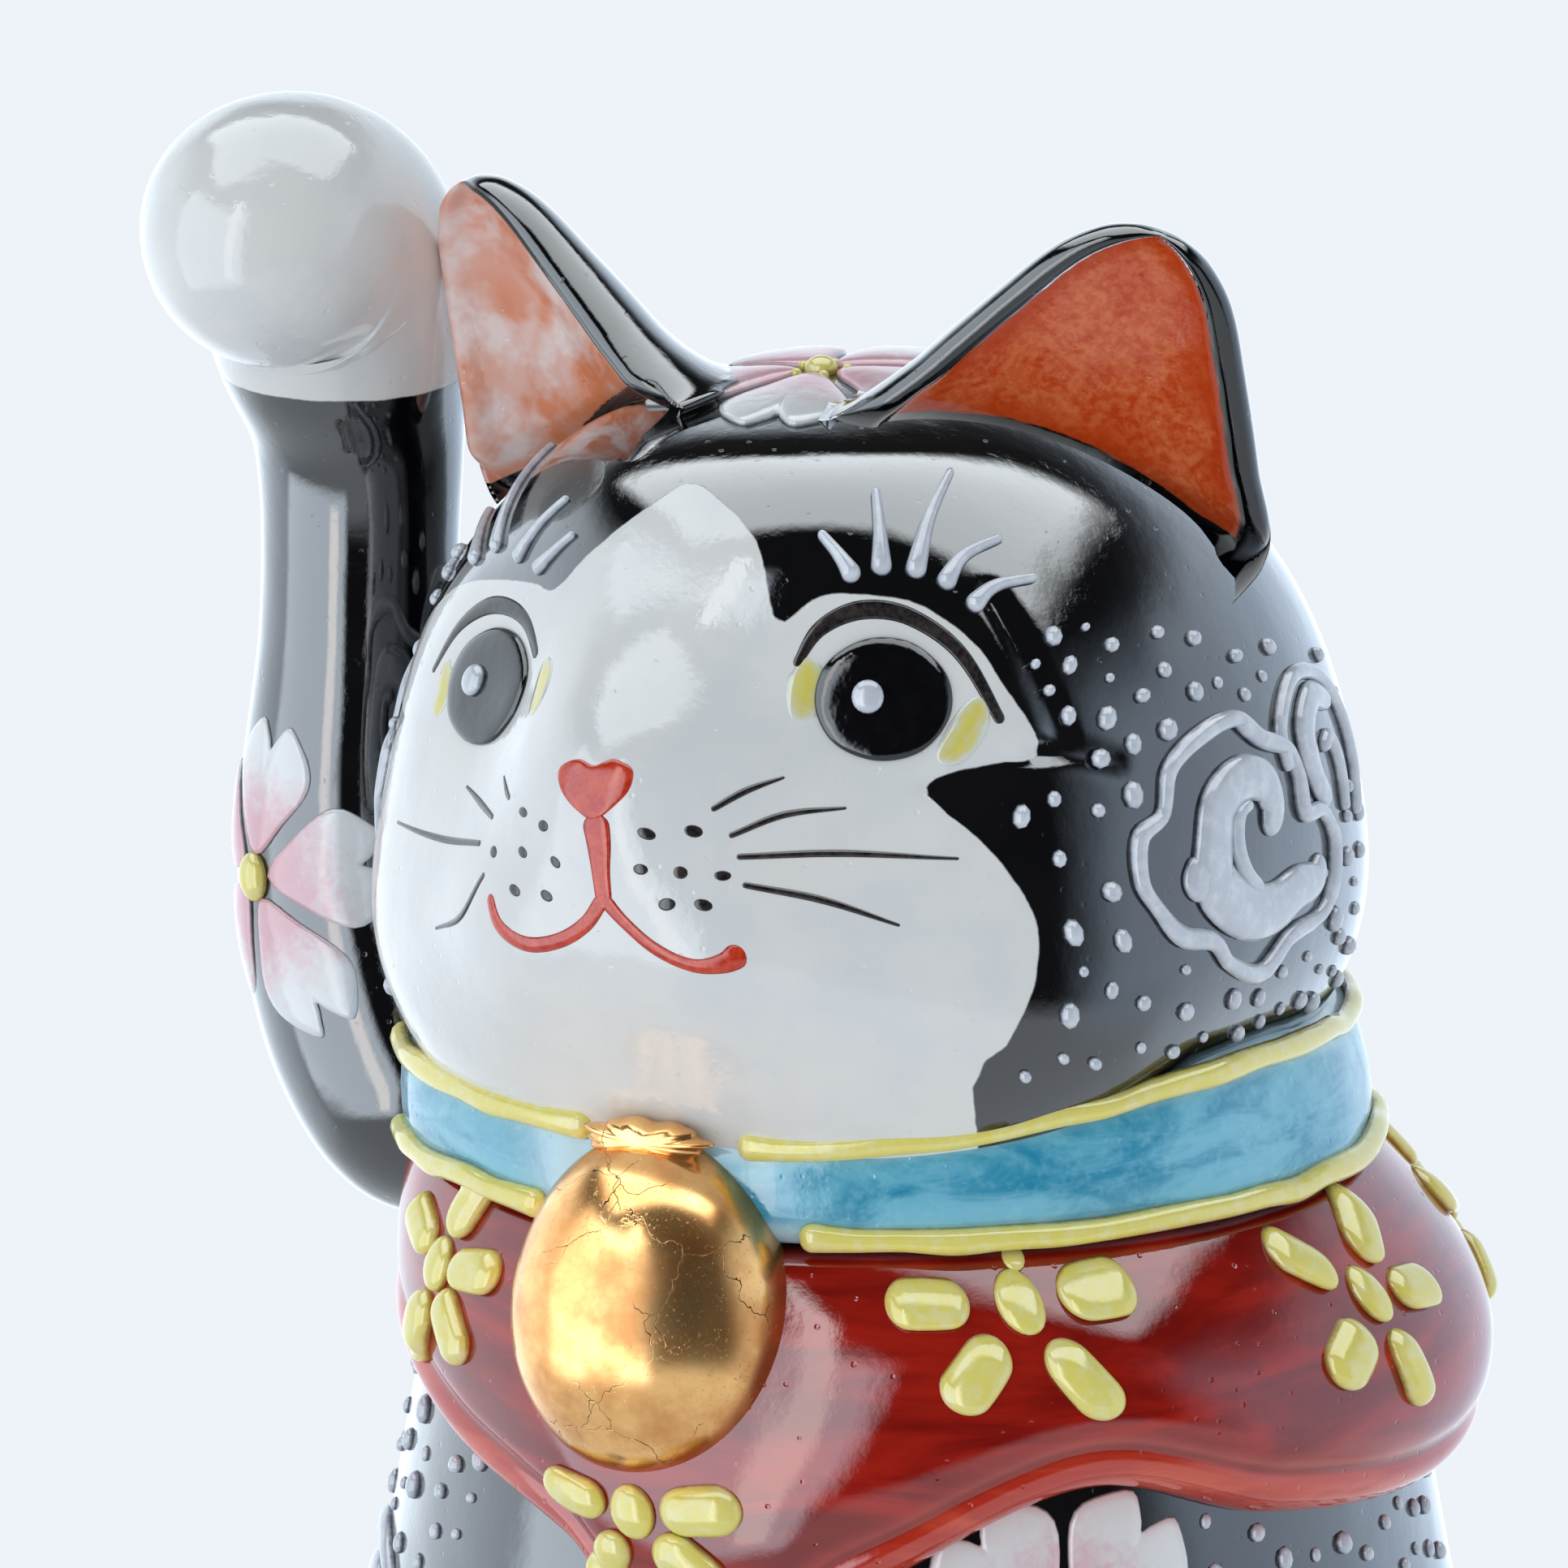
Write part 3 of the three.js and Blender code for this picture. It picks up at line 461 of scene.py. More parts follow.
def line_distance(points, line):
    """Distance from each point to a run of straight stretches."""
    best = np.full(len(points), 1e9)
    for a, b in zip(line[:-1], line[1:]):
        t = np.clip((points - a) @ (b - a) / max((b - a) @ (b - a), 1e-12), 0, 1)
        best = np.minimum(best, np.linalg.norm(points - (a + np.outer(t, b - a)), axis=1))
    return best


def outline_distance(azimuth, elevation, outline):
    """Millimetres inside an outline on the head, negative outside it."""
    ring = np.array(outline + outline[:1], float)
    ring = along(np.column_stack([np.arange(len(ring)), ring]), np.linspace(0, len(ring) - 1, 3 * len(ring)))
    inside = np.zeros(len(azimuth), bool)
    for (a0, e0), (a1, e1) in zip(ring[:-1], ring[1:]):
        crosses = (e0 > elevation) != (e1 > elevation)
        inside ^= crosses & (azimuth < (a1 - a0) * (elevation - e0) / (e1 - e0 + 1e-12) + a0)
    far = line_distance(direction(azimuth, elevation), direction(*ring.T)) * FACE_RADIUS
    return np.where(inside, far, -far)


# ---------------------------------------------------------------- shaping meshes

# How full a drop or stroke of enamel stands: 1 is round, less is fuller.
DOME = 0.8
# Grids already made, by their numbers of sides and rows.
BALLS = {}


class Clay:
    """A mesh being shaped, with how thick the enamel is and how far along its stroke each point lies."""

    def __init__(self, *notes):
        self.bm = bmesh.new()
        for name in ("thick", "way", *notes):
            self.bm.verts.layers.float.new(name)

    def ball(self, sides, rows):
        """New vertices on a closed grid, with each one's share from pole to pole and its angle round."""
        if (sides, rows) not in BALLS:
            bm = bmesh.new()
            verts = bmesh.ops.create_uvsphere(bm, u_segments=sides, v_segments=rows, radius=1)["verts"]
            co = np.array([v.co for v in verts])
            mesh = bpy.data.meshes.new("ball")
            bm.to_mesh(mesh)
            bm.free()
            share = np.arccos(np.clip(co[:, 2], -1, 1)) / np.pi
            BALLS[sides, rows] = mesh, share, np.arctan2(co[:, 1], co[:, 0])
        mesh, t, turn = BALLS[sides, rows]
        before = len(self.bm.verts)
        self.bm.from_mesh(mesh)
        self.bm.verts.ensure_lookup_table()
        return self.bm.verts[before:], t, turn

    def put(self, verts, points, **notes):
        for vert, point in zip(verts, points):
            vert.co = Vector(point) * MM
        for name, values in notes.items():
            layer = self.bm.verts.layers.float[name]
            for vert, value in zip(verts, values):
                vert[layer] = float(value)


def finished(name, clay, slot, material, *nodes):
    """The clay as a finished piece that rides with the figure and stands for these CAD nodes."""
    bm = clay.bm
    bmesh.ops.remove_doubles(bm, verts=bm.verts, dist=1e-7)
    bmesh.ops.recalc_face_normals(bm, faces=bm.faces)
    for face in bm.faces:
        face.smooth = True
    mesh = bpy.data.meshes.new(name)
    bm.to_mesh(mesh)
    bm.free()
    mesh.materials.append(material)
    piece = bpy.data.objects.new(name, mesh)
    bpy.context.collection.objects.link(piece)
    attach(piece, "root")
    if nodes:
        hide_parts(*nodes)
    return piece


def stroke(clay, place, path, width, rise, steps=14, sides=8, sink=0.2):
    """A raised line with round ends along rows of x, y and share of the width."""
    path = np.asarray(path, float)
    if path.shape[1] == 2:
        path = np.column_stack([path, np.ones(len(path))])
    rows = keyed(path)
    length = np.linalg.norm(np.diff(path[:, :2], axis=0), axis=1).sum()
    verts, t, turn = clay.ball(sides, steps)
    share = (1 - np.cos(np.pi * t)) / 2
    x, y, fat = along(rows, share).T
    ahead, behind = along(rows, np.minimum(share + 0.02, 1)), along(rows, np.maximum(share - 0.02, 0))
    tangent = unit((ahead - behind)[:, :2])
    half = width / 2 * fat
    end = np.clip(1 - np.minimum(share, 1 - share) * length / half, 0, 1)
    round_end = np.sqrt(np.clip(1 - end**2, 0, 1))
    across, up = half * round_end * np.cos(turn), np.sin(turn)
    high = rise * np.sqrt(fat) * round_end * np.abs(up) ** DOME
    raised = np.where(up > 0, high, -sink * np.abs(up) * round_end)
    points = place(x - tangent[:, 1] * across, y + tangent[:, 0] * across, raised)
    clay.put(verts, points, thick=np.maximum(up, 0) * round_end, way=share)


def pad(clay, place, outline, rise, sides=40, rows=12, flat=0.5, wobble=0.0, sink=0.3):
    """A flat-topped pad inside a closed outline of x, y; its way runs up the outline's y."""
    outline = np.asarray(outline, float)
    middle = (outline.max(0) + outline.min(0)) / 2
    ring = np.vstack([outline[-2:], outline, outline[:3]])
    keys = np.arange(-2, len(outline) + 3)
    verts, t, turn = clay.ball(sides, rows)
    edge = along(np.column_stack([keys, ring]), (turn % (2 * np.pi)) / (2 * np.pi) * len(outline))
    share = np.sin(np.pi * t) * (1 + wobble * (np.sin(5 * turn + 1) + np.sin(9 * turn + 4) * 0.6))
    x, y = (middle + (edge - middle) * share[:, None]).T
    top = np.cos(np.pi * t)
    raised = np.where(top > 0, rise * np.abs(top) ** flat, -sink * np.abs(top))
    low, high = outline[:, 1].min(), outline[:, 1].max()
    clay.put(verts, place(x, y, raised), thick=np.clip(top, 0, 1) ** flat, way=(y - low) / (high - low))


def dot(clay, place, x, y, across, rise, up=None, sides=8, rows=6, turn_by=0.0):
    """A domed drop of enamel."""
    up = up or across
    verts, t, turn = clay.ball(sides, rows)
    far = np.sin(np.pi * t)
    dx, dy = across * far * np.cos(turn), up * far * np.sin(turn)
    c, s = math.cos(turn_by), math.sin(turn_by)
    top = np.cos(np.pi * t)
    raised = np.where(top > 0, rise * np.abs(top) ** DOME, -0.2 * np.abs(top))
    clay.put(verts, place(x + dx * c - dy * s, y + dx * s + dy * c, raised), thick=np.clip(top, 0, 1))


def limb(clay, rows, sides, steps, flare, toes=0):
    """A round-ended limb along rows of centre and radius, flared where it joins the body."""
    rows = keyed(rows)
    verts, t, turn = clay.ball(sides, steps)
    share = (1 - np.cos(np.pi * t)) / 2
    length = np.linalg.norm(np.diff(rows[:, 1:4], axis=0), axis=1).sum()
    grid = np.unique(np.round(share, 6))
    spine = along(rows, grid)[:, :3]
    ahead, behind = along(rows, np.minimum(grid + 0.01, 1)), along(rows, np.maximum(grid - 0.01, 0))
    tangents = unit(ahead[:, :3] - behind[:, :3])
    across = [unit(np.cross(tangents[0], (0.3, 1, 0.1)))]
    for tangent in tangents[1:]:
        across.append(unit(across[-1] - tangent * (across[-1] @ tangent)))
    across = np.array(across)
    i = np.clip(np.searchsorted(grid, share - 1e-5), 0, len(grid) - 1)
    radius = along(rows, share)[:, 3]
    end = np.clip(1 - np.minimum(share, 1 - share) * length / radius, 0, 1)
    out = across[i] * np.cos(turn)[:, None] + np.cross(tangents[i], across[i]) * np.sin(turn)[:, None]
    reach = radius * np.sqrt(np.clip(1 - end**2, 0, 1))
    points = spine[i] + out * reach[:, None]
    if toes:
        sideways = (points[:, 0] - rows[-1, 1]) / rows[-1, 4]
        front = smooth_step((share - 0.8) / 0.15) * smooth_step((points[:, 2] - 1) / 4)
        for groove in (-0.3, 0.3):
            points = points - out * (toes * front * np.exp(-(((sideways - groove) / 0.09) ** 2)))[:, None]
    off = body_clearance(points)
    near = np.clip(1 - np.maximum(off, 0) / flare, 0, 1) * np.clip(1 + off / 2, 0, 1)
    return verts, points + out * (flare * 0.6 * (1 - np.sqrt(1 - near**2)))[:, None]


# ---------------------------------------------------------------- node building


def rgb(red, green, blue):
    """A colour given in everyday 0 to 255 steps, as the shaders want it."""
    parts = [value / 255 for value in (red, green, blue)]
    return (*[p / 12.92 if p <= 0.04045 else ((p + 0.055) / 1.055) ** 2.4 for p in parts], 1)


def add(tree, kind, settings=None, **feeds):
    """A node with its settings, and each named input either linked or set."""
    made = tree.nodes.new("ShaderNode" + kind)
    for name, value in (settings or {}).items():
        setattr(made, name, value)
    for name, value in feeds.items():
        socket = made.inputs[int(name[1:])] if name[1:].isdigit() else made.inputs[name.replace("_", " ")]
        if isinstance(value, bpy.types.NodeSocket):
            tree.links.new(value, socket)
        else:
            socket.default_value = value
    return made


def calc(tree, operation, a, b=0.0, c=0.0):
    return add(tree, "Math", {"operation": operation}, i0=a, i1=b, i2=c).outputs[0]


def blend(tree, share, a, b):
    return add(tree, "Mix", {"data_type": "RGBA"}, i0=share, i6=a, i7=b).outputs[2]


def ease(tree, value, low, high, start=0.0, end=1.0):
    settings = {"interpolation_type": "SMOOTHSTEP"}
    feeds = {"From_Min": low, "From_Max": high, "To_Min": start, "To_Max": end}
    return add(tree, "MapRange", settings, Value=value, **feeds).outputs[0]


def noise(tree, vector, scale, detail=2.0, roughness=0.5, distortion=0.0):
    feeds = {"Scale": scale, "Detail": detail, "Roughness": roughness, "Distortion": distortion}
    return add(tree, "TexNoise", Vector=vector, **feeds).outputs["Fac"]


def group(name, inputs, outputs):
    """An empty node group with its sockets, and its two end nodes."""
    tree = bpy.data.node_groups.new(name, "ShaderNodeTree")
    for socket, kind in inputs.items():
        tree.interface.new_socket(socket, in_out="INPUT", socket_type="NodeSocket" + kind)
    for socket, kind in outputs.items():
        tree.interface.new_socket(socket, in_out="OUTPUT", socket_type="NodeSocket" + kind)
    return tree, tree.nodes.new("NodeGroupInput").outputs, tree.nodes.new("NodeGroupOutput").inputs


def use(tree, made, **feeds):
    """A node group placed in a material."""
    placed = tree.nodes.new("ShaderNodeGroup")
    placed.node_tree = made
    for name, value in feeds.items():
        socket = placed.inputs[name.replace("_", " ")]
        if isinstance(value, bpy.types.NodeSocket):
            tree.links.new(value, socket)
        else:
            socket.default_value = value
    return placed.outputs


def make_glaze_skin():
    """Orange peel, kiln pits and faint haze on a glaze. Heights are in millimetres."""
    inputs, outputs = {"Vector": "Vector", "Ripple": "Float"}, {"Height": "Float", "Haze": "Float"}
    tree, given, out = group("glaze skin", inputs, outputs)
    swell = noise(tree, given["Vector"], 0.16, 1)
    peel = noise(tree, given["Vector"], 0.9, 3, 0.55)
    pits = add(tree, "TexVoronoi", Vector=given["Vector"], Scale=0.55).outputs["Distance"]
    pit = ease(tree, pits, 0.05, 0.14, -0.03, 0.0)
    waves = calc(tree, "MULTIPLY_ADD", swell, 0.22, calc(tree, "MULTIPLY", peel, 0.035))
    tree.links.new(calc(tree, "ADD", calc(tree, "MULTIPLY", waves, given["Ripple"]), pit), out["Height"])
    tree.links.new(ease(tree, noise(tree, given["Vector"], 0.35, 4, 0.6), 0.45, 0.75), out["Haze"])
    return tree


def make_paint_edge():
    """Which side of a hand-painted edge a point is on, from its distance inside it in millimetres."""
    inputs = {"Vector": "Vector", **{name: "Float" for name in ("Distance", "Wobble", "Grain", "Softness")}}
    tree, given, out = group("paint edge", inputs, {"Mask": "Float"})
    shake = calc(tree, "SUBTRACT", noise(tree, given["Vector"], given["Grain"], 3, 0.6), 0.5)
    moved = calc(tree, "MULTIPLY_ADD", shake, given["Wobble"], given["Distance"])
    minus = calc(tree, "MULTIPLY", given["Softness"], -1)
    tree.links.new(ease(tree, moved, minus, given["Softness"]), out["Mask"])
    return tree


def make_enamel_depth():
    """Enamel that shows its ground through its thin edges and pools unevenly."""
    inputs = {"Vector": "Vector", "Thick": "Float", "Thin": "Color", "Full": "Color", "Pool": "Color"}
    tree, given, out = group("enamel depth", inputs, {"Color": "Color", "Height": "Float"})
    pools = noise(tree, given["Vector"], 0.8, 3, 0.6)
    body = blend(tree, ease(tree, pools, 0.42, 0.7), given["Full"], given["Pool"])
    shown = calc(tree, "ADD", given["Thick"], calc(tree, "MULTIPLY", calc(tree, "SUBTRACT", pools, 0.5), 0.5))
    tree.links.new(blend(tree, ease(tree, shown, 0.0, 0.34), given["Thin"], body), out["Color"])
    tree.links.new(calc(tree, "MULTIPLY", noise(tree, given["Vector"], 0.9, 2), 0.03), out["Height"])
    return tree


def make_wash():
    """Two colours run together as a brushed wash, with fine mottling."""
    inputs = {"Vector": "Vector", "Dark": "Color", "Light": "Color", "Flow": "Float", "Grain": "Float"}
    tree, given, out = group("wash", inputs, {"Color": "Color"})
    flow = ease(tree, noise(tree, given["Vector"], given["Flow"], 3, 0.55, 1.2), 0.38, 0.62)
    fine = ease(tree, noise(tree, given["Vector"], given["Grain"], 3, 0.65), 0.4, 0.62)
    mixed = calc(tree, "MULTIPLY_ADD", fine, 0.5, calc(tree, "MULTIPLY", flow, 0.5))
    tree.links.new(blend(tree, mixed, given["Dark"], given["Light"]), out["Color"])
    return tree


GLAZE_SKIN = make_glaze_skin()
PAINT_EDGE = make_paint_edge()
ENAMEL_DEPTH = make_enamel_depth()
WASH = make_wash()


def start(name):
    """A new material with its tree, its shader and Object coordinates in millimetres."""
    material = bpy.data.materials.new(name)
    material.use_nodes = True
    tree = material.node_tree
    tree.nodes.clear()
    shader = add(tree, "BsdfPrincipled")
    tree.links.new(shader.outputs[0], tree.nodes.new("ShaderNodeOutputMaterial").inputs[0])
    place = add(tree, "TexCoord").outputs["Object"]
    vector = add(tree, "VectorMath", {"operation": "SCALE"}, i0=place, Scale=1 / MM).outputs[0]
    return material, tree, shader, vector


def note(tree, name):
    return add(tree, "Attribute", {"attribute_name": name}).outputs["Fac"]


def dress(tree, shader, colour, height, roughness, **constants):
    """Colour, bump and roughness on the shader, and its fixed values."""
    bump = add(tree, "Bump", Strength=1.0, Distance=MM, Height=height)
    tree.links.new(bump.outputs[0], shader.inputs["Normal"])
    tree.links.new(colour, shader.inputs["Base Color"])
    if isinstance(roughness, bpy.types.NodeSocket):
        tree.links.new(roughness, shader.inputs["Roughness"])
    else:
        shader.inputs["Roughness"].default_value = roughness
    for name, value in constants.items():
        shader.inputs[name.replace("_", " ")].default_value = value


def painted(tree, vector, inside, wobble, grain, softness):
    feeds = {"Distance": inside, "Wobble": wobble, "Grain": grain, "Softness": softness}
    return use(tree, PAINT_EDGE, Vector=vector, **feeds)["Mask"]


BLACK, BLACK_POOL = rgb(7, 8, 11), rgb(14, 14, 18)
WHITE, WHITE_POOL = rgb(238, 239, 236), rgb(230, 233, 233)
CLEAR_GLAZE = {"IOR": 1.45, "Coat_Roughness": 0.04}


def polish(tree, skin):
    """Roughness of a bright glaze, a little more where it is hazy."""
    return calc(tree, "MULTIPLY_ADD", skin["Haze"], 0.05, 0.045)


def black_and_white(name, white_note=None):
    """Black glaze, with clear glaze over white porcelain inside a painted edge."""
    material, tree, shader, vector = start(name)
    skin = use(tree, GLAZE_SKIN, Vector=vector, Ripple=1.0)
    pools = noise(tree, vector, 0.12, 3, 0.6)
    colour = blend(tree, ease(tree, pools, 0.4, 0.7), BLACK, BLACK_POOL)
    height = skin["Height"]
    if white_note:
        inside = note(tree, white_note)
        mask = painted(tree, vector, inside, 0.3, 0.5, 0.09)
        porcelain = blend(tree, ease(tree, pools, 0.35, 0.7), WHITE, WHITE_POOL)
        colour = blend(tree, mask, colour, porcelain)
        height = calc(tree, "MULTIPLY_ADD", mask, -0.05, height)
        tree.links.new(calc(tree, "SUBTRACT", 1.0, mask), shader.inputs["Coat Weight"])
    dress(tree, shader, colour, height, polish(tree, skin), **CLEAR_GLAZE, Coat_IOR=1.7)
    if not white_note:
        shader.inputs["Coat Weight"].default_value = 1.0
    return material


def ear_glaze(name, dark, light, flow, grain):
    material, tree, shader, vector = start(name)
    skin = use(tree, GLAZE_SKIN, Vector=vector, Ripple=1.0)
    wash = use(tree, WASH, Vector=vector, Dark=dark, Light=light, Flow=flow, Grain=grain)["Color"]
    streak = calc(tree, "MULTIPLY_ADD", noise(tree, vector, 0.3, 2), 6.0, note(tree, "inside"))
    wash = blend(tree, ease(tree, streak, 3.4, 6.2, 0.75, 0.0), wash, dark)
    mask = painted(tree, vector, note(tree, "inside"), 0.5, 0.6, 0.12)
    tree.links.new(calc(tree, "SUBTRACT", 1.0, mask), shader.inputs["Coat Weight"])
    colour = blend(tree, mask, BLACK, wash)
    dress(tree, shader, colour, skin["Height"], polish(tree, skin), **CLEAR_GLAZE, Coat_IOR=1.45)
    return material


def enamel(name, thin, full, pool, roughness=0.12, body=1.0):
    """Raised enamel; one with less body fades out towards its edges."""
    material, tree, shader, vector = start(name)
    thick = calc(tree, "MULTIPLY_ADD", note(tree, "thick"), body, (body - 1) * 0.25)
    depth = use(tree, ENAMEL_DEPTH, Vector=vector, Thick=thick, Thin=thin, Full=full, Pool=pool)
    dress(tree, shader, depth["Color"], depth["Height"], roughness, IOR=1.6)
    return material


def petal_enamel():
    """White enamel that turns pink towards the foot of each petal."""
    material, tree, shader, vector = start("petal enamel")
    way = note(tree, "way")
    streaks = calc(tree, "SUBTRACT", noise(tree, vector, 0.9, 3, 0.6, 0.6), 0.5)
    pink = ease(tree, calc(tree, "MULTIPLY_ADD", streaks, 0.55, way), 0.2, 0.78, 1.0, 0.0)
    body = blend(tree, pink, rgb(240, 243, 243), rgb(234, 186, 196))
    thick, thin = note(tree, "thick"), rgb(150, 160, 170)
    depth = use(tree, ENAMEL_DEPTH, Vector=vector, Thick=thick, Thin=thin, Full=body, Pool=body)
    dress(tree, shader, depth["Color"], depth["Height"], 0.14, IOR=1.55)
    return material


def red_glaze():
    material, tree, shader, vector = start("red glaze")
    skin = use(tree, GLAZE_SKIN, Vector=vector, Ripple=0.3)
    up = note(tree, "above_hem")
    along_brush = add(tree, "Mapping", Vector=vector, Scale=(0.06, 0.06, 0.3)).outputs[0]
    brush = noise(tree, along_brush, 1.0, 4, 0.6, 0.6)
    body = blend(tree, ease(tree, brush, 0.35, 0.68), rgb(132, 18, 12), rgb(178, 34, 20))
    rim = blend(tree, ease(tree, brush, 0.4, 0.62), rgb(196, 52, 34), rgb(220, 84, 56))
    shaken = calc(tree, "MULTIPLY_ADD", calc(tree, "SUBTRACT", brush, 0.5), 3.0, up)
    colour = blend(tree, ease(tree, shaken, 2.6, 6.0), rim, body)
    # The darker red along the crease above the hem is painted shade.
    crease = calc(tree, "ABSOLUTE", calc(tree, "SUBTRACT", up, 4.1))
    colour = blend(tree, ease(tree, crease, 0.1, 0.6, 0.5, 0.0), colour, rgb(96, 12, 10))
    dress(tree, shader, colour, skin["Height"], 0.05, IOR=1.62)
    return material


def turquoise_enamel():
    material, tree, shader, vector = start("turquoise enamel")
    skin = use(tree, GLAZE_SKIN, Vector=vector, Ripple=0.7)
    along_brush = add(tree, "Mapping", Vector=vector, Scale=(0.1, 0.1, 0.28)).outputs[0]
    brush = noise(tree, along_brush, 1.0, 4, 0.62, 0.8)
    body = blend(tree, ease(tree, brush, 0.38, 0.66), rgb(118, 196, 222), rgb(44, 150, 186))
    fine = noise(tree, vector, 1.2, 2)
    body = blend(tree, ease(tree, fine, 0.45, 0.8, 0.0, 0.35), body, rgb(150, 214, 232))
    edge = calc(tree, "MULTIPLY_ADD", calc(tree, "SUBTRACT", fine, 0.5), 0.8, note(tree, "from_edge"))
    colour = blend(tree, ease(tree, edge, 1.2, 2.6), rgb(176, 218, 236), body)
    colour = blend(tree, note(tree, "pale"), colour, rgb(184, 220, 238))
    dress(tree, shader, colour, skin["Height"], 0.08, IOR=1.6)
    return material


# Where the painted dark reflection on the bell is centred, in millimetres.
DARK_REFLECTION_AT = (3.4, -45, 100)


def gold_lustre():
    """Fired gold, worn and speckled, with a painted dark reflection on it and hair cracks in the glaze under
    it.
    """
    material, tree, shader, vector = start("gold lustre")
    warp = add(tree, "TexNoise", Vector=vector, Scale=0.35, Detail=3.0).outputs["Color"]
    bent = add(tree, "VectorMath", {"operation": "MULTIPLY_ADD"}, i0=warp, i1=(3, 3, 3), i2=vector).outputs[0]
    cells = add(tree, "TexVoronoi", {"feature": "DISTANCE_TO_EDGE"}, Vector=bent, Scale=0.16)
    where = ease(tree, noise(tree, vector, 0.11, 2), 0.47, 0.56)
    crack = calc(tree, "MULTIPLY", ease(tree, cells.outputs["Distance"], 0.0, 0.007, 1.0, 0.0), where)
    specks = ease(tree, noise(tree, vector, 3.6, 4, 0.7), 0.6, 0.72)
    # One patch high on the cat's left is painted darker and made rougher: a painted reflection of the dark
    # room in front of the bell.
    away = add(tree, "VectorMath", {"operation": "DISTANCE"}, i0=bent, i1=DARK_REFLECTION_AT).outputs["Value"]
    away = calc(tree, "MULTIPLY_ADD", noise(tree, vector, 0.5, 4, 0.7), 3.0, away)
    painted_reflection = ease(tree, away, 4.2, 7.4, 1.0, 0.0)
    specks_and_painted_reflection = calc(tree, "MAXIMUM", calc(tree, "MULTIPLY", specks, 0.6), calc(tree, "MULTIPLY", painted_reflection, 0.75))
    cloud = ease(tree, noise(tree, vector, 0.2, 4, 0.6), 0.35, 0.7)
    colour = blend(tree, cloud, rgb(240, 188, 122), rgb(204, 142, 84))
    colour = blend(tree, calc(tree, "MULTIPLY", specks_and_painted_reflection, 0.7), colour, rgb(96, 66, 40))
    colour = blend(tree, crack, colour, rgb(60, 40, 28))
    roughness = calc(tree, "MULTIPLY_ADD", cloud, 0.07, calc(tree, "MULTIPLY_ADD", specks_and_painted_reflection, 0.16, 0.16))
    specked = calc(tree, "MULTIPLY", specks, -0.006)
    dents = calc(tree, "MULTIPLY_ADD", noise(tree, vector, 0.16, 1), 0.16, specked)
    height = calc(tree, "MULTIPLY_ADD", crack, -0.03, dents)
    dress(tree, shader, colour, height, roughness, Metallic=0.86)
    return material


def brushed_paint(name, dark, light):
    """Thin overglaze paint, uneven where the brush ran dry."""
    material, tree, shader, vector = start(name)
    wash = use(tree, WASH, Vector=vector, Dark=dark, Light=light, Flow=0.5, Grain=2.4)["Color"]
    height = calc(tree, "MULTIPLY", noise(tree, vector, 1.2, 2), 0.012)
    dress(tree, shader, wash, height, 0.12, IOR=1.5)
    return material


def bisque():
    material, tree, shader, vector = start("bisque")
    grain = noise(tree, vector, 3.0, 4, 0.7)
    stain = ease(tree, noise(tree, vector, 0.1, 3), 0.45, 0.75)
    clay = blend(tree, grain, rgb(222, 214, 200), rgb(236, 230, 218))
    colour = blend(tree, stain, clay, rgb(206, 192, 170))
    dress(tree, shader, colour, calc(tree, "MULTIPLY", grain, 0.06), 0.75)
    return material


BLACK_GLAZE = black_and_white("black glaze")
FACE_GLAZE = black_and_white("face glaze", "white")
LEFT_EAR_GLAZE = ear_glaze("left ear glaze", rgb(206, 70, 22), rgb(232, 122, 74), 0.25, 1.5)
RIGHT_EAR_GLAZE = ear_glaze("right ear glaze", rgb(242, 142, 94), rgb(255, 236, 230), 0.09, 0.2)
WHITE_ENAMEL = enamel("white enamel", rgb(112, 122, 138), rgb(204, 211, 221), rgb(222, 228, 235))
YELLOW_ENAMEL = enamel("yellow enamel", rgb(186, 166, 84), rgb(244, 232, 122), rgb(246, 238, 164))
PUPIL_ENAMEL = enamel("pupil enamel", rgb(6, 6, 8), rgb(8, 8, 11), rgb(12, 13, 17), 0.06)
PETAL_ENAMEL = petal_enamel()
RED_GLAZE, TURQUOISE, GOLD, BISQUE = red_glaze(), turquoise_enamel(), gold_lustre(), bisque()
RED_PAINT = brushed_paint("red paint", rgb(192, 36, 16), rgb(220, 76, 42))
INK = brushed_paint("ink", rgb(26, 24, 26), rgb(66, 60, 58))
YELLOW_PAINT = enamel("yellow paint", rgb(228, 232, 222), rgb(226, 212, 66), rgb(234, 224, 112), body=0.42)

# ---------------------------------------------------------------- castings


def make_head():
    clay = Clay("white")
    verts = bmesh.ops.create_uvsphere(clay.bm, u_segments=300, v_segments=190, radius=1)["verts"]
    ways = unit(np.array([v.co for v in verts]))
    azimuth, elevation = angles(ways)
    dent = np.zeros(len(verts))
    for crease in CREASES:
        line = direction(*along(keyed(crease), np.linspace(0, 1, 12)).T)
        off = line_distance(ways, line) * FACE_RADIUS
        dent -= CREASE["depth"] * np.exp(-((off / CREASE["width"]) ** 2))
    clay.put(verts, head_towards(ways, dent), white=outline_distance(azimuth, elevation, WHITE_FACE))
    # The casting is open at the neck, where it sits on the body.
    whole = clay.bm.verts[:] + clay.bm.edges[:] + clay.bm.faces[:]
    cut = bmesh.ops.bisect_plane(
        clay.bm, geom=whole, dist=1e-7, plane_co=(0, 0, NECK * MM), plane_no=(0, 0, 1), clear_inner=True
    )
    rim = [e for e in cut["geom_cut"] if isinstance(e, bmesh.types.BMEdge)]
    bmesh.ops.holes_fill(clay.bm, edges=rim, sides=0)
    finished("head", clay, "face_glaze", FACE_GLAZE, "head_casting")


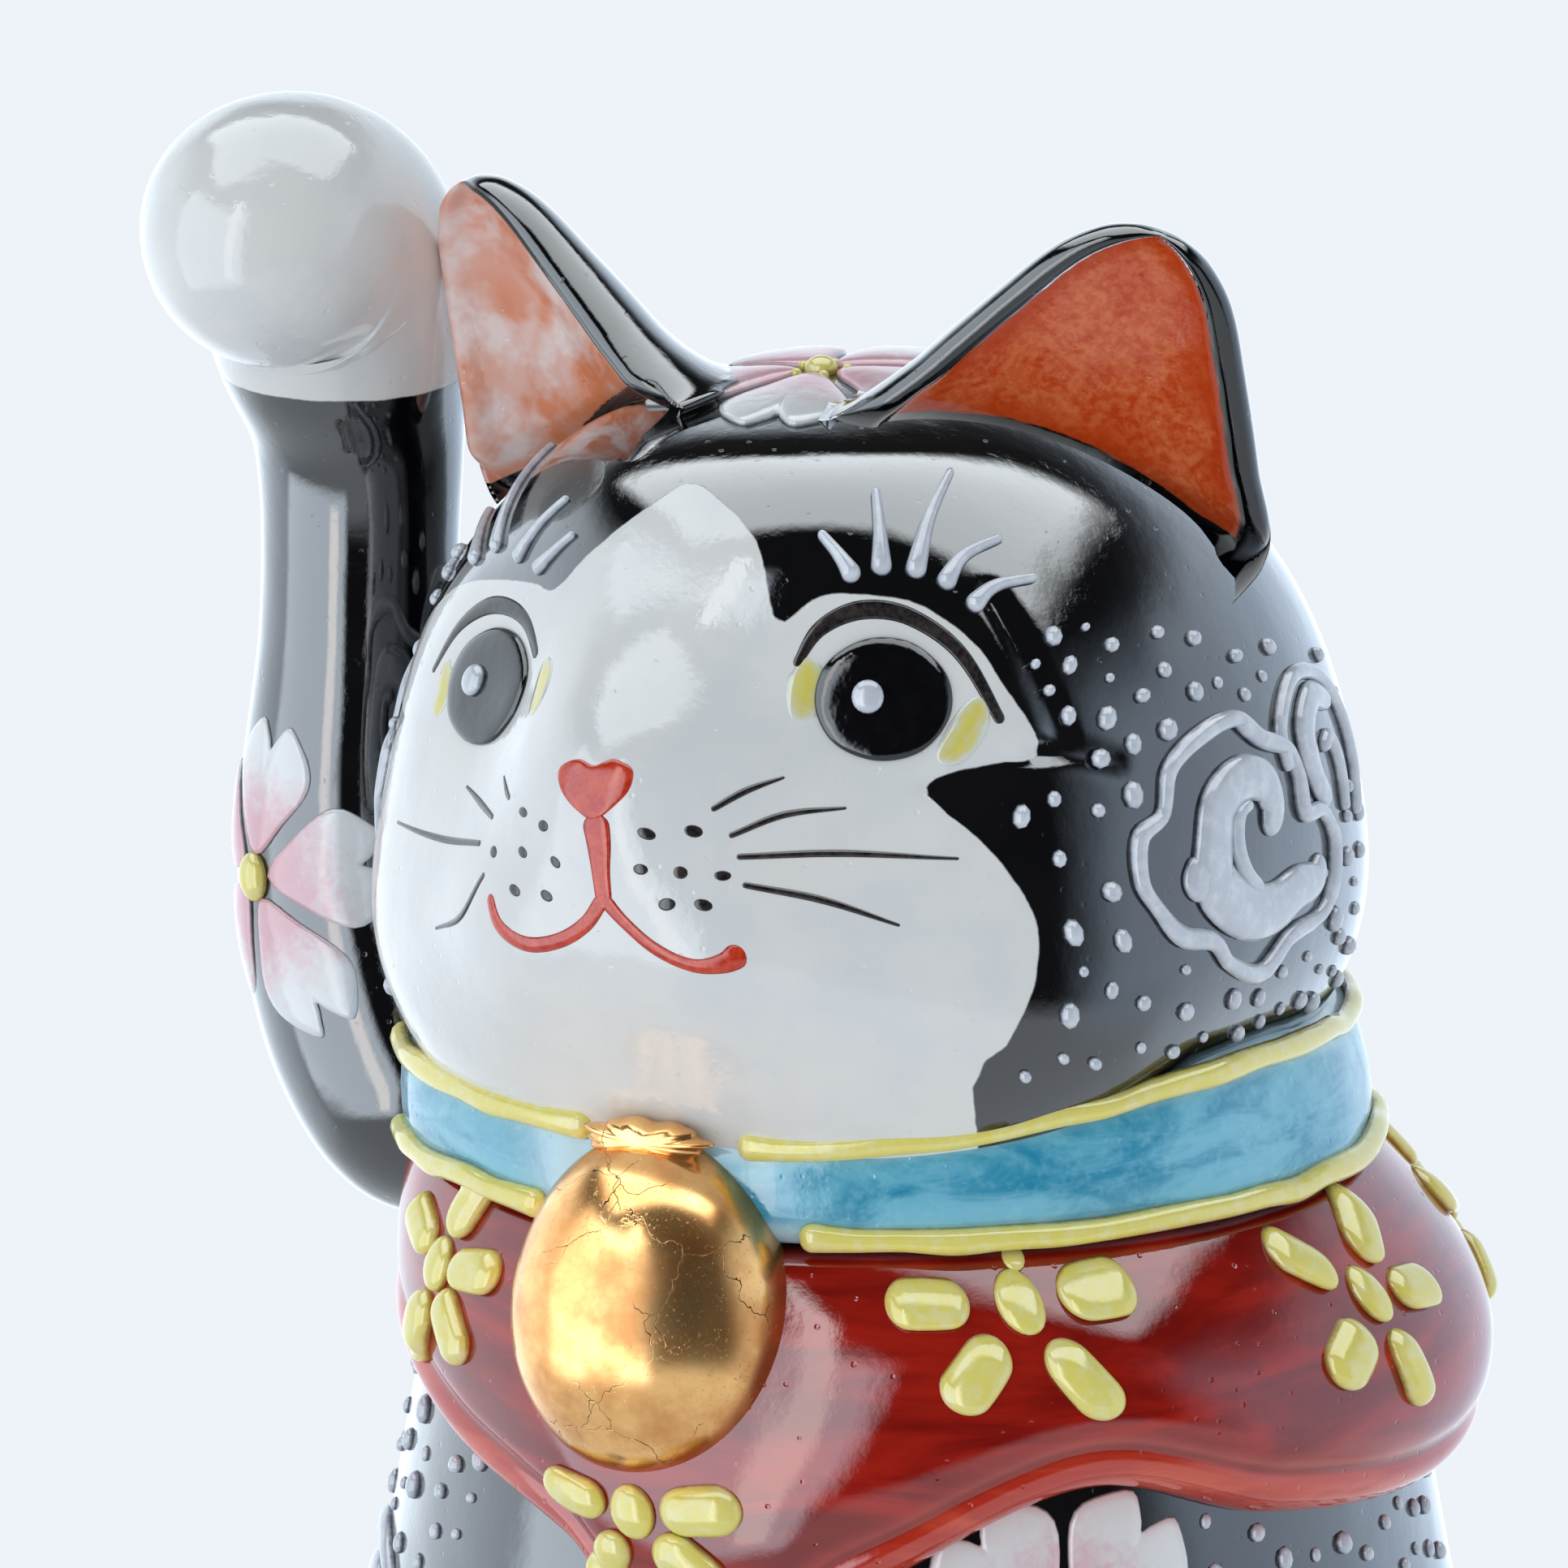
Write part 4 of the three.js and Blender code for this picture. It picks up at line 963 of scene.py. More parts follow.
def make_ear(side, name, material, outer_paint=0):
    """A crescent in section: the back is round, the front hollow, and the rim between them rolls over."""
    clay = Clay("inside")
    flip = np.array((side, 1, 1))
    width = unit(np.array(EAR["width"]) * flip)
    facing = np.array(EAR["facing"]) * flip
    facing = unit(facing - width * (facing @ width))
    tall = np.cross(width, facing)
    tall = tall * np.sign(tall[2])
    verts, t, turn = clay.ball(120, 90)
    half, up = along(EAR_PROFILE, np.clip(1 - t, 0, 1)).T
    half, up = np.maximum(half, 0) * EAR["half"], up * EAR["height"]
    # Both poles close the skin.
    half = half * np.minimum(1, np.sqrt(np.clip(1 - t, 0, 1) * 14))
    across, depth = half * np.cos(turn), half * np.sin(turn)
    hollow_half = np.maximum(half - EAR["rim"], 1e-3)
    rim = np.clip((half - np.abs(across)) / EAR["rim"], 0, 1)
    inner = np.clip(np.abs(across) / hollow_half, 0, 1)
    bowl = EAR["hollow"] * hollow_half * (1 - inner**2) ** 0.75 * smooth_step((half - EAR["rim"]) / 2)
    lip = 0.5 * EAR["rim"] * np.sqrt(np.clip(1 - (1 - 2 * rim) ** 2, 0, 1)) * np.minimum(half / 4, 1)
    # Below its foot the front sinks away into the head.
    sunk = 7 * smooth_step((3 - up) / 9)
    skin = depth * EAR["back"]
    front = np.where(depth > 0, np.maximum(lip - bowl - sunk, -0.85 * skin), skin)
    points = np.outer(across, width) + np.outer(up, tall) + np.outer(front, facing)
    points = points + np.array(EAR["foot"]) * flip
    off = head_clearance(points)
    # Clay is smoothed into the head round the foot, on the outside only.
    near = np.clip(1 - np.maximum(off, 0) / EAR["fillet"], 0, 1) * np.clip(1 + off / 2, 0, 1)
    outward = unit(np.outer(across, width) + np.outer(np.minimum(front, 0), facing))
    fillet = EAR["fillet"] * 0.7 * (1 - np.sqrt(1 - near**2)) * np.where(depth > 0, rim < 0.5, 1)
    points = points + outward * fillet[:, None]
    # What is left under the foot is tucked well inside the head.
    points = points - unit(points) * (5 * smooth_step((-1 - up) / 5))[:, None]
    painted = hollow_half + np.where(across > 0, outer_paint, 0)
    inside = np.where(depth > -0.5, np.minimum(painted - np.abs(across) - 0.1, off - 1.1), -3)
    clay.put(verts, set_on_head(points), inside=np.minimum(inside, (up - 1) * 2 + 3))
    return finished(name, clay, "ear_glaze", material, name)


def make_body():
    clay = Clay()
    verts, share, turn = clay.ball(220, 170)
    # The skin runs from the neck down the outside, round the foot ring and back in over the recess.
    stops = np.array([
        (0, 0, NECK), (0.04, 0.94, NECK), (0.06, 1, NECK - 0.6), (0.86, 1, 1.2), (0.88, 0.985, 0.2),
        (0.89, 0.97, 0), (0.93, 0.905, 0), (0.95, 0.89, 2), (0.97, 0.885, 5), (1, 0, 5),
    ])
    fat = np.interp(share, stops[:, 0], stops[:, 1])
    height = np.interp(share, stops[:, 0], stops[:, 2])
    skin = body_wall(np.degrees(turn), height)
    axis = np.array((*BODY_AXIS, 0))
    points = (skin - axis) * np.column_stack([fat, fat, np.ones(len(fat))]) + axis
    clay.put(verts, points)
    finished("body", clay, "black_glaze", BLACK_GLAZE, "body_casting")


def arm_spine(height):
    """The middle and the radius of the raised arm at some height on its upright stretch."""
    upright = [(row[2], row[0], row[1], row[3]) for row in RAISED_ARM[1:7]]
    return along(upright, height)


def arm_wall(azimuth, height, raised=0):
    azimuth, height = np.broadcast_arrays(np.asarray(azimuth, float), np.asarray(height, float))
    x, y, radius = arm_spine(height).T
    return direction(azimuth, 0) * (radius + raised)[..., None] + np.stack([x, y, height], axis=-1)


def make_limbs():
    clay = Clay("white")
    verts, points = limb(clay, RAISED_ARM, 72, 150, 6.0)
    around = np.arctan2(points[:, 0] - SLEEVE["middle"], -points[:, 1])
    sleeve = points[:, 2] - SLEEVE["top"] + SLEEVE["waver"] * np.sin(around * 2 + 0.6)
    clay.put(verts, points, white=sleeve)
    finished("raised_arm_and_paw", clay, "arm_glaze", FACE_GLAZE, "raised_arm")
    for name, rows, toes in (
        ("left_foreleg", FORELEG, 0.8),
        ("left_hind_foot", HIND_FOOT, 0.8),
        ("right_hind_foot", [(-x, y, z, r) for x, y, z, r in HIND_FOOT], 0.8),
        ("tail", TAIL, 0),
    ):
        clay = Clay()
        verts, points = limb(clay, rows, 48, 80, 4.0, toes)
        points[:, 2] = np.maximum(points[:, 2], 0.15)
        clay.put(verts, points)
        finished(name + "_glazed", clay, "black_glaze", BLACK_GLAZE, name)


# ---------------------------------------------------------------- collar, bib and bell


def closed_ring(clay, steps, corners):
    """A closed ring of skin, with each vertex's azimuth and its share round the section."""
    stand = Matrix.Translation((2, 0, 0)) @ Matrix.Rotation(math.radians(90), 4, "X")
    section = bmesh.ops.create_circle(clay.bm, segments=corners, radius=1, matrix=stand)["verts"]
    edges = list({edge for vert in section for edge in vert.link_edges})
    bmesh.ops.spin(
        clay.bm, geom=section + edges, cent=(0, 0, 0), axis=(0, 0, 1), dvec=(0, 0, 0), angle=2 * math.pi,
        steps=steps, use_merge=True, use_duplicate=False,
    )
    verts = clay.bm.verts[:]
    x, y, z = np.array([v.co for v in verts]).T
    share = (np.arctan2(-z, np.hypot(x, y) - 2) / (2 * np.pi) + 0.25) % 1
    return verts, np.degrees(np.arctan2(x, -y)), share


def make_bib():
    clay = Clay("above_hem")
    verts, azimuth, share = closed_ring(clay, 400, 72)
    hem, roll = bib_hem(azimuth), BIB["roll"]
    fall, turn_in = 0.62, 0.74
    down = np.clip(share / fall, 0, 1)
    height = BIB["top"] + (hem + roll - BIB["top"]) * down
    depth = np.zeros(len(verts))
    curl = np.clip((share - fall) / (turn_in - fall), 0, 1) * np.pi
    rolled = share > fall
    height = np.where(rolled, hem + roll - roll * np.sin(curl), height)
    depth = np.where(rolled, -roll * (1 - np.cos(curl)), depth)
    back_up = np.clip((share - turn_in) / (1 - turn_in), 0, 1)
    inner = share > turn_in
    height = np.where(inner, (hem + roll) * (1 - back_up) + BIB["top"] * back_up, height)
    depth = np.where(inner, -2 * roll - (BIB["thickness"] + 2) * back_up, depth)
    points = bib_wall(azimuth, np.maximum(height, hem), depth)
    points[:, 2] = height
    clay.put(verts, points, above_hem=np.where(rolled, 0, height - hem))
    finished("bib_glazed", clay, "red_glaze", RED_GLAZE, "bib")


def make_collar():
    clay = Clay("from_edge", "pale")
    verts, azimuth, share = closed_ring(clay, 300, 48)
    low, high = COLLAR["low"] - 0.3, collar_top(azimuth) + 0.2
    middle, half = (low + high) / 2, (high - low) / 2
    lean = 2 * np.pi * (share - 0.25)
    # The section is nearly square, with rounded corners.
    up, out = [np.sign(value) * np.abs(value) ** 0.45 for value in (-np.sin(lean), np.cos(lean))]
    thick = COLLAR["depth"] / 2
    uneven = 0.12 * np.sin(np.radians(azimuth) * 5 + 1) + 0.08 * np.sin(np.radians(azimuth) * 13)
    crowned = 0.5 * (1 - up**2) * (out > 0) + uneven * (out > 0)
    radius = COLLAR["radius"] + 0.3 - thick + out * thick + crowned
    radius = radius - collar_lean(azimuth) * (0.5 + 0.5 * up) ** 1.3
    points = direction(azimuth, 0) * radius[:, None]
    points[:, 2] = middle + up * half
    off = np.minimum(points[:, 2] - low, high - points[:, 2])
    pale = smooth_step(1 - np.abs(turned_away(azimuth, -14)) / 12) * 0.8
    clay.put(verts, points, from_edge=off, pale=pale)
    finished("collar_enamelled", clay, "turquoise_enamel", TURQUOISE, "collar_band")
    heights = {
        "low": lambda a: 0 * a + COLLAR["low"] + 0.7,
        "high": lambda a: collar_top(a) - 0.7,
    }
    names = {"low": "lower", "high": "upper"}
    for edge, runs in PIPING_RUNS.items():
        for side, (begin, end) in runs.items():
            clay = Clay()
            count = 40 if side == "left" else 10
            ring = np.linspace(begin, end, count)
            draw = random.Random(f"{edge} {side}")
            fat = [1.25] + [draw.uniform(0.85, 1.1) for _ in ring[2:]] + [1.1]
            mm = math.radians(1) * COLLAR["radius"]
            path = np.column_stack([ring * mm, [draw.uniform(-0.22, 0.22) for _ in ring], fat])

            def place(x, y, raised, height=heights[edge], mm=mm):
                azimuth = x / mm
                level = height(azimuth) + y
                share = np.clip((level - COLLAR["low"]) / (COLLAR["high"] - COLLAR["low"]), 0, 1) ** 1.3
                reach = COLLAR["radius"] + 0.45 - collar_lean(azimuth) * share + raised
                skin = direction(azimuth, 0) * reach[..., None]
                skin[:, 2] = level
                return skin

            steps = 260 if side == "left" else 70
            stroke(clay, place, path, PIPING["width"], PIPING["rise"], steps, 12)
            name = f"collar_piping_{names[edge]}_{side}"
            finished(name + "_line", clay, "yellow_enamel", YELLOW_ENAMEL, name)


def middle_and_half(node):
    low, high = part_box(node)
    return (low + high) / 2 / MM, (high - low) / 2 / MM


def make_bell():
    middle, size = middle_and_half("bell")
    clay = Clay()
    verts, t, turn = clay.ball(110, 80)
    lean = np.pi * t
    # The bell is a little narrower at its top, and its moulded skin isn't quite even.
    uneven = 0.008 * np.sin(3 * turn + 2) * np.sin(lean) + 0.006 * np.sin(4 * lean + 2 * turn)
    out = np.sin(lean) ** 0.94 * (1 - 0.07 * np.cos(lean) + uneven)
    x, y, z = out * np.cos(turn), out * np.sin(turn) + 1, np.cos(lean)
    front = middle.y - size.y
    points = np.column_stack([middle.x + size.x * x, front + BELL_DEPTH * y, middle.z + size.z * z])
    clay.put(verts, points)
    finished("bell_gilded", clay, "gold_lustre", GOLD, "bell")

    middle, size = middle_and_half("bell_lug")
    clay = Clay()
    verts, t, turn = clay.ball(64, 20)
    ragged = 1 + 0.07 * np.sin(7 * turn + 1) + 0.05 * np.sin(12 * turn)
    far = np.sin(np.pi * t) * ragged
    x, y, z = far * np.cos(turn), np.cos(np.pi * t), far * np.sin(turn)
    spread = np.column_stack([1.12 * size.x * x, -0.9 * size.y * y, 1.3 * size.z * z - 0.5])
    clay.put(verts, np.array(middle) + spread)
    finished("bell_lug_gilded", clay, "gold_lustre", GOLD, "bell_lug")


# ---------------------------------------------------------------- enamel on the head


def lifted(place, height):
    return lambda x, y, raised: place(x, y, raised + height)


def make_eyes():
    for side, at in EYES.items():
        place, _ = head_patch(at)
        clay = Clay()
        around = np.linspace(0, 2 * math.pi, 24, False)
        round_edge = np.column_stack([np.cos(around), np.sin(around)]) * PUPILS[side]
        pad(clay, place, round_edge, PUPIL["rise"], 72, 24, 0.85, 0.005)
        finished(f"{side}_pupil_drop", clay, "pupil_enamel", PUPIL_ENAMEL, f"{side}_pupil")
        clay = Clay()
        across, up = PUPIL["highlight"]
        dot(clay, lifted(place, PUPIL["rise"] * 0.98), -1.1, 0.1, across, 0.75, up, 20, 12)
        finished(f"{side}_highlight", clay, "white_enamel", WHITE_ENAMEL, f"{side}_eye_highlight")
        for i, lash in enumerate(LASHES[side]):
            place, flatten = head_patch(lash[0])
            path = np.column_stack([flatten(lash), (1.5, 0.85, 0.6)])
            clay = Clay()
            stroke(clay, place, path, LASH_WIDTH[side], LASH_WIDTH[side] * 0.75, 26, 12)
            finished(f"{side}_lash_{i + 1}", clay, "white_enamel", WHITE_ENAMEL, f"{side}_eyelash_{i + 1}")
        clay = Clay()
        place, flatten = head_patch(at)
        lid = np.column_stack([flatten(LIDS[side]), (0.5, 0.9, 1.15, 1.1, 0.95, 0.7)])
        stroke(clay, place, lid, 1.2, 0.09, 60, 8, 0.05)
        finished(f"{side}_lid", clay, "pupil_enamel", INK)
        clay = Clay()
        for corner, angle, length, width in EYE_CORNERS[side]:
            place, _ = head_patch(corner, angle)
            half = length / 2
            path = [(-half, 0, 0.6), (-half / 3, -0.3, 1), (0.4 * half, -0.2, 1), (half, 0.2, 0.5)]
            stroke(clay, place, path, width, 0.07, 30, 10, 0.05)
        finished(f"{side}_eye_corners", clay, "yellow_enamel", YELLOW_PAINT)


def make_nose_and_mouth():
    place, flatten = head_patch((1, 8))
    clay = Clay()
    pad(clay, place, flatten(NOSE)[::-1], 0.16, 64, 16, 0.5, 0.006, 0.05)
    finished("nose", clay, "red_glaze", RED_PAINT)
    clay = Clay()
    stroke(clay, place, flatten(PHILTRUM), 1.5, 0.1, 40, 8, 0.05)
    for side, path in MOUTH.items():
        place, flatten = head_patch(path[2][:2])
        stroke(clay, place, flatten(path), 1.15, 0.1, 60, 8, 0.05)
    finished("mouth", clay, "red_glaze", RED_PAINT)
    for side in WHISKERS:
        clay = Clay()
        for path in WHISKERS[side]:
            place, flatten = head_patch(path[1])
            stroke(clay, place, np.column_stack([flatten(path), (0.8, 1, 0.45)]), 0.58, 0.06, 40, 6, 0.04)
        finished(f"{side}_whiskers", clay, "pupil_enamel", INK)
        clay = Clay()
        draw = random.Random(side)
        for at in WHISKER_SPOTS[side]:
            place, _ = head_patch(at)
            across, up, lean = draw.uniform(0.5, 0.68), draw.uniform(0.36, 0.46), draw.uniform(-0.6, 0.2)
            dot(clay, place, 0, 0, across, 0.08, up, 14, 8, lean)
        finished(f"{side}_whisker_spots", clay, "pupil_enamel", INK)


def petal_outline(length, width, foot):
    """A notched petal with its foot at the blossom's middle, anticlockwise from its right-most point."""
    half = [(0.3, 0.3), (0.5, 0.62), (0.4, 0.86), (0.2, 1.02), (0.06, 0.9)]
    right = [(x * width, foot + y * (length - foot)) for x, y in half]
    left = [(-x, y) for x, y in reversed(right)]
    points = np.array([(0, foot), *right, (0, foot + 0.82 * (length - foot)), *left])
    middle = (points.max(0) + points.min(0)) / 2
    order = np.argsort(np.arctan2(*(points - middle).T[::-1]) % (2 * np.pi))
    return points[order]


def cloud(clay, place, size, flip=1, small=False):
    """A cloud scroll in thick enamel."""

    def shape(rows):
        return [(row[0] * size * flip, row[1] * size, *row[2:]) for row in rows]

    if small:
        for path, width in SMALL_CLOUD_CURLS:
            stroke(clay, place, shape(path), width * size, 0.75, 50, 10)
        return
    turns = len(CLOUD_BORDER)
    border = [(*CLOUD_BORDER[i % turns], 1 + 0.14 * math.sin((i % turns) * 2.1)) for i in range(turns + 3)]
    stroke(clay, place, shape(border), 1.5 * size, 0.85, 190, 10)
    for path, width in CLOUD_SWIRLS:
        stroke(clay, place, shape(path), width * size, 0.9, 90, 14)


def bead_spots(spread, avoid, keep, count, seed):
    """Places for hand-laid beads round a scroll, in millimetres about its middle, with their radii."""
    draw = np.random.default_rng(seed)
    tries = draw.uniform(-1, 1, (count * 30, 2)) * spread
    radii = draw.choice((0.5, 0.6, 0.7, 0.8, 0.95), len(tries))
    good = keep(*tries.T) & (line_distance(tries, avoid) > 1.5 + radii)
    spots = []
    for (x, y), radius in zip(tries[good], radii[good]):
        clear = all(math.hypot(x - a, y - b) > BEAD_GAP + 0.4 * (radius + r) for a, b, r in spots)
        if clear and len(spots) < count:
            spots.append((x, y, radius))
    return spots


def lay_beads(clay, place, spots):
    for i, (x, y, radius) in enumerate(spots):
        tall = radius * (1.05 + 0.2 * math.sin(i * 2.3))
        dot(clay, place, x, y, radius, radius * 0.85, tall, 8, 6, math.sin(i) * 0.4)


def make_cheek(side):
    at, small_at = (side * 80, 0), (side * 101, 9.5)
    slot = "white_enamel"
    name = "left" if side > 0 else "right"
    # Only the left cheek's scrolls are solids of the frame.
    nodes = (["large_cheek_scroll"], ["small_cheek_scroll"]) if side > 0 else ([], [])
    clay = Clay()
    place, flatten = head_patch(at)
    cloud(clay, place, 1, side)
    finished(f"{name}_cheek_cloud", clay, slot, WHITE_ENAMEL, *nodes[0])
    clay = Clay()
    cloud(clay, head_patch(small_at)[0], 1, side, True)
    finished(f"{name}_cheek_small_cloud", clay, slot, WHITE_ENAMEL, *nodes[1])

    outward, flat = direction(*at), head_radius(*at)
    right = unit(np.cross((0, 0, 1), outward))
    above = np.cross(outward, right)
    border = np.array([(x * side, y) for x, y in CLOUD_BORDER + CLOUD_BORDER[:1]])
    far_middle = flatten([small_at])[0][:2]

    def keep(x, y):
        ways = unit(outward * flat + np.outer(x, right) + np.outer(y, above))
        azimuth, elevation = angles(ways)
        x, far = x * side - 1, np.hypot(x - far_middle[0], y - far_middle[1])
        clear_of_face = outline_distance(azimuth, elevation, WHITE_FACE) < -2.6
        outside_cloud = np.hypot(x / 12, (y + 0.5) / 9) > 1.02
        clear_of_ear = elevation < 30 - 0.25 * np.abs(np.abs(azimuth) - 60)
        above_collar = head_towards(ways)[:, 2] > collar_top(azimuth) + 1.6
        in_front = np.abs(azimuth) < 128
        return clear_of_face & outside_cloud & (far > 9.2) & clear_of_ear & above_collar & in_front

    spots = bead_spots((24, 21), border, keep, 86, 3 + side)
    clay = Clay()
    lay_beads(clay, place, spots)
    finished(f"{name}_cheek_beads", clay, slot, WHITE_ENAMEL)


def make_crown_blossom():
    b = CROWN_BLOSSOM
    outline = petal_outline(b["length"], b["width"], 1.5)
    for i in range(5):
        clay = Clay()
        place, _ = head_patch(b["at"], b["angle"] + 72 * i)
        pad(clay, place, outline, b["rise"], 48, 14, 0.55, 0.008)
        finished(f"crown_blossom_petal_{i + 1}", clay, "pink_enamel", PETAL_ENAMEL, f"crown_petal_{i + 1}")
    clay = Clay()
    place, _ = head_patch(b["at"])
    dot(clay, place, 0, 0, 1.3, 1.3, None, 16, 10)
    for i in range(5):
        angle = math.radians(72 * i + 30)
        dot(clay, place, 2 * math.cos(angle), 2 * math.sin(angle), 0.45, 0.7, None, 10, 6)
    finished("crown_blossom_middle", clay, "yellow_enamel", YELLOW_ENAMEL)


# ---------------------------------------------------------------- enamel on the bib, the body and the arm


def make_bib_blossoms():
    for name, (at, dabs) in BIB_BLOSSOMS.items():
        drawn = name in ("front", "left", "right")
        for i, (angle, reach) in enumerate(dabs):
            place = wall_patch(bib_wall, at, angle)
            half = DAB["length"] / 2
            fat = 1 + 0.08 * math.sin(3 * i + len(name))
            clay = Clay()
            shares = ((-half, 0.9 * fat), (-half / 3, 1.05 * fat), (half / 2, 1.08 * fat), (half, fat))
            path = [(reach + off, 0, share) for off, share in shares]
            stroke(clay, place, path, DAB["width"], DAB["rise"], 30, 20)
            nodes = [f"{name}_blossom_dab_{i + 1}"] if drawn else []
            finished(f"{name}_dab_{i + 1}", clay, "yellow_enamel", YELLOW_ENAMEL, *nodes)
        clay = Clay()
        up, across = DAB["middle"]
        dot(clay, wall_patch(bib_wall, at), 0, 0, across, 1.2, up, 24, 14, 0.2)
        nodes = [f"{name}_blossom_middle"] if drawn else []
        finished(f"{name}_middle", clay, "yellow_enamel", YELLOW_ENAMEL, *nodes)
    clay = Clay()
    dot(clay, wall_patch(bib_wall, BLOSSOM_DOT["at"]), 0, 0, BLOSSOM_DOT["radius"], 0.5, None, 16, 10)
    finished("left_dot", clay, "yellow_enamel", YELLOW_ENAMEL, "left_blossom_dot")


def make_body_flowers():
    petals, middles = Clay(), Clay()
    for at, angle, size in BODY_BLOSSOMS:
        outline = petal_outline(10 * size, 8.6 * size, 1.8)
        for i in range(5):
            pad(petals, wall_patch(body_wall, at, angle + 72 * i), outline, 0.5, 40, 12, 0.5, 0.01)
        dot(middles, wall_patch(body_wall, at), 0, 0, 1.6, 1.1, None, 16, 10)
    finished("body_blossoms", petals, "pink_enamel", PETAL_ENAMEL)
    finished("body_blossom_middles", middles, "yellow_enamel", YELLOW_ENAMEL)


def make_body_clouds():
    scrolls, beads = Clay(), Clay()
    border = np.array(CLOUD_BORDER + CLOUD_BORDER[:1])
    for i, (at, size) in enumerate(BODY_CLOUDS):
        flip = 1 if at[0] > 0 else -1
        place = wall_patch(body_wall, at)
        cloud(scrolls, place, size, flip)

        def keep(x, y, at=at, size=size, flip=flip):
            azimuth, height = at[0] + np.degrees(x / BODY_REACH), at[1] + y
            good = np.hypot((x * flip - size) / (13 * size), (y + 0.5) / (10 * size)) > 1
            for (a, h), _, _ in BODY_BLOSSOMS:
                good &= np.hypot(turned_away(azimuth, a) * 0.75, height - h) > 12.5
            return good & (height > 10) & (height < bib_hem(azimuth) - 1.5)

        spots = bead_spots((22, 24), border * (size * flip, size), keep, 90, 20 + i)
        lay_beads(beads, place, spots)
    finished("body_clouds", scrolls, "white_enamel", WHITE_ENAMEL)
    finished("body_beads", beads, "white_enamel", WHITE_ENAMEL)


def make_arm_blossom():
    b = ARM_BLOSSOM
    at, reach = b["at"], float(arm_spine(b["at"][1])[0][2])
    outline = petal_outline(b["length"], b["width"], 1.8)
    petals = Clay()
    for i in range(5):
        pad(petals, wall_patch(arm_wall, at, b["angle"] + 72 * i, reach), outline, 0.45, 48, 14, 0.5, 0.01)
    finished("arm_blossom", petals, "pink_enamel", PETAL_ENAMEL)
    clay = Clay()
    dot(clay, wall_patch(arm_wall, at, 0, reach), 0, 0, 1.5, 1.2, 2.0, 16, 10)
    finished("arm_blossom_middle", clay, "yellow_enamel", YELLOW_ENAMEL)


# ---------------------------------------------------------------- studio

BACKDROP = rgb(238, 242, 249)
# Soft boxes by azimuth and elevation: middle, half size, softness of the edge, brightness and tint.
SOFT_BOXES = [
    ((205, -5), (85, 33), 8, 1.5, (0.8, 0.9, 1)),  # backdrop
    ((135, 0), (50, 27), 14, 1.5, (0.68, 0.82, 1)),  # on the cat's left
    ((-96, 2), (42, 28), 10, 2.0, (0.8, 0.9, 1)),  # behind its right
    ((-27, 4), (38, 33), 4, 4.2, (0.8, 0.9, 1)),  # on its right
    ((-3, 10), (5, 34), 2, 6.0, (1, 0.98, 0.98)),  # the bright edge of that one
]
# The box overhead, by slopes from straight up: middle and half size, towards the camera and across.
TOP_BOX = {"towards": (-0.16, 0.65), "across": (0.05, 0.88), "edge": 0.1, "strength": 4.5}
TOP_BOX_TINT = (0.9, 0.96, 1)
TABLE = {"below": -20, "edge": 5, "glow": (0.85, 0.93, 1)}
ROOM_GLOW = 0.03
# What lights the unpolished surfaces is even, and a little stronger from the cat's right.
TENT = {"glow": (0.51, 0.54, 0.57), "azimuth": -45, "more": 0.3}


def box_mask(tree, value, middle, half, edge):
    away = calc(tree, "ABSOLUTE", calc(tree, "SUBTRACT", value, middle))
    return ease(tree, away, half - edge, half + edge, 1.0, 0.0)


def sideways(tree, way, azimuth):
    """The parts of a direction towards an azimuth and across it."""
    c, s = math.cos(math.radians(azimuth)), math.sin(math.radians(azimuth))
    across = calc(tree, "MULTIPLY_ADD", way[0], c, calc(tree, "MULTIPLY", way[1], s))
    towards = calc(tree, "SUBTRACT", calc(tree, "MULTIPLY", way[0], s), calc(tree, "MULTIPLY", way[1], c))
    return towards, across


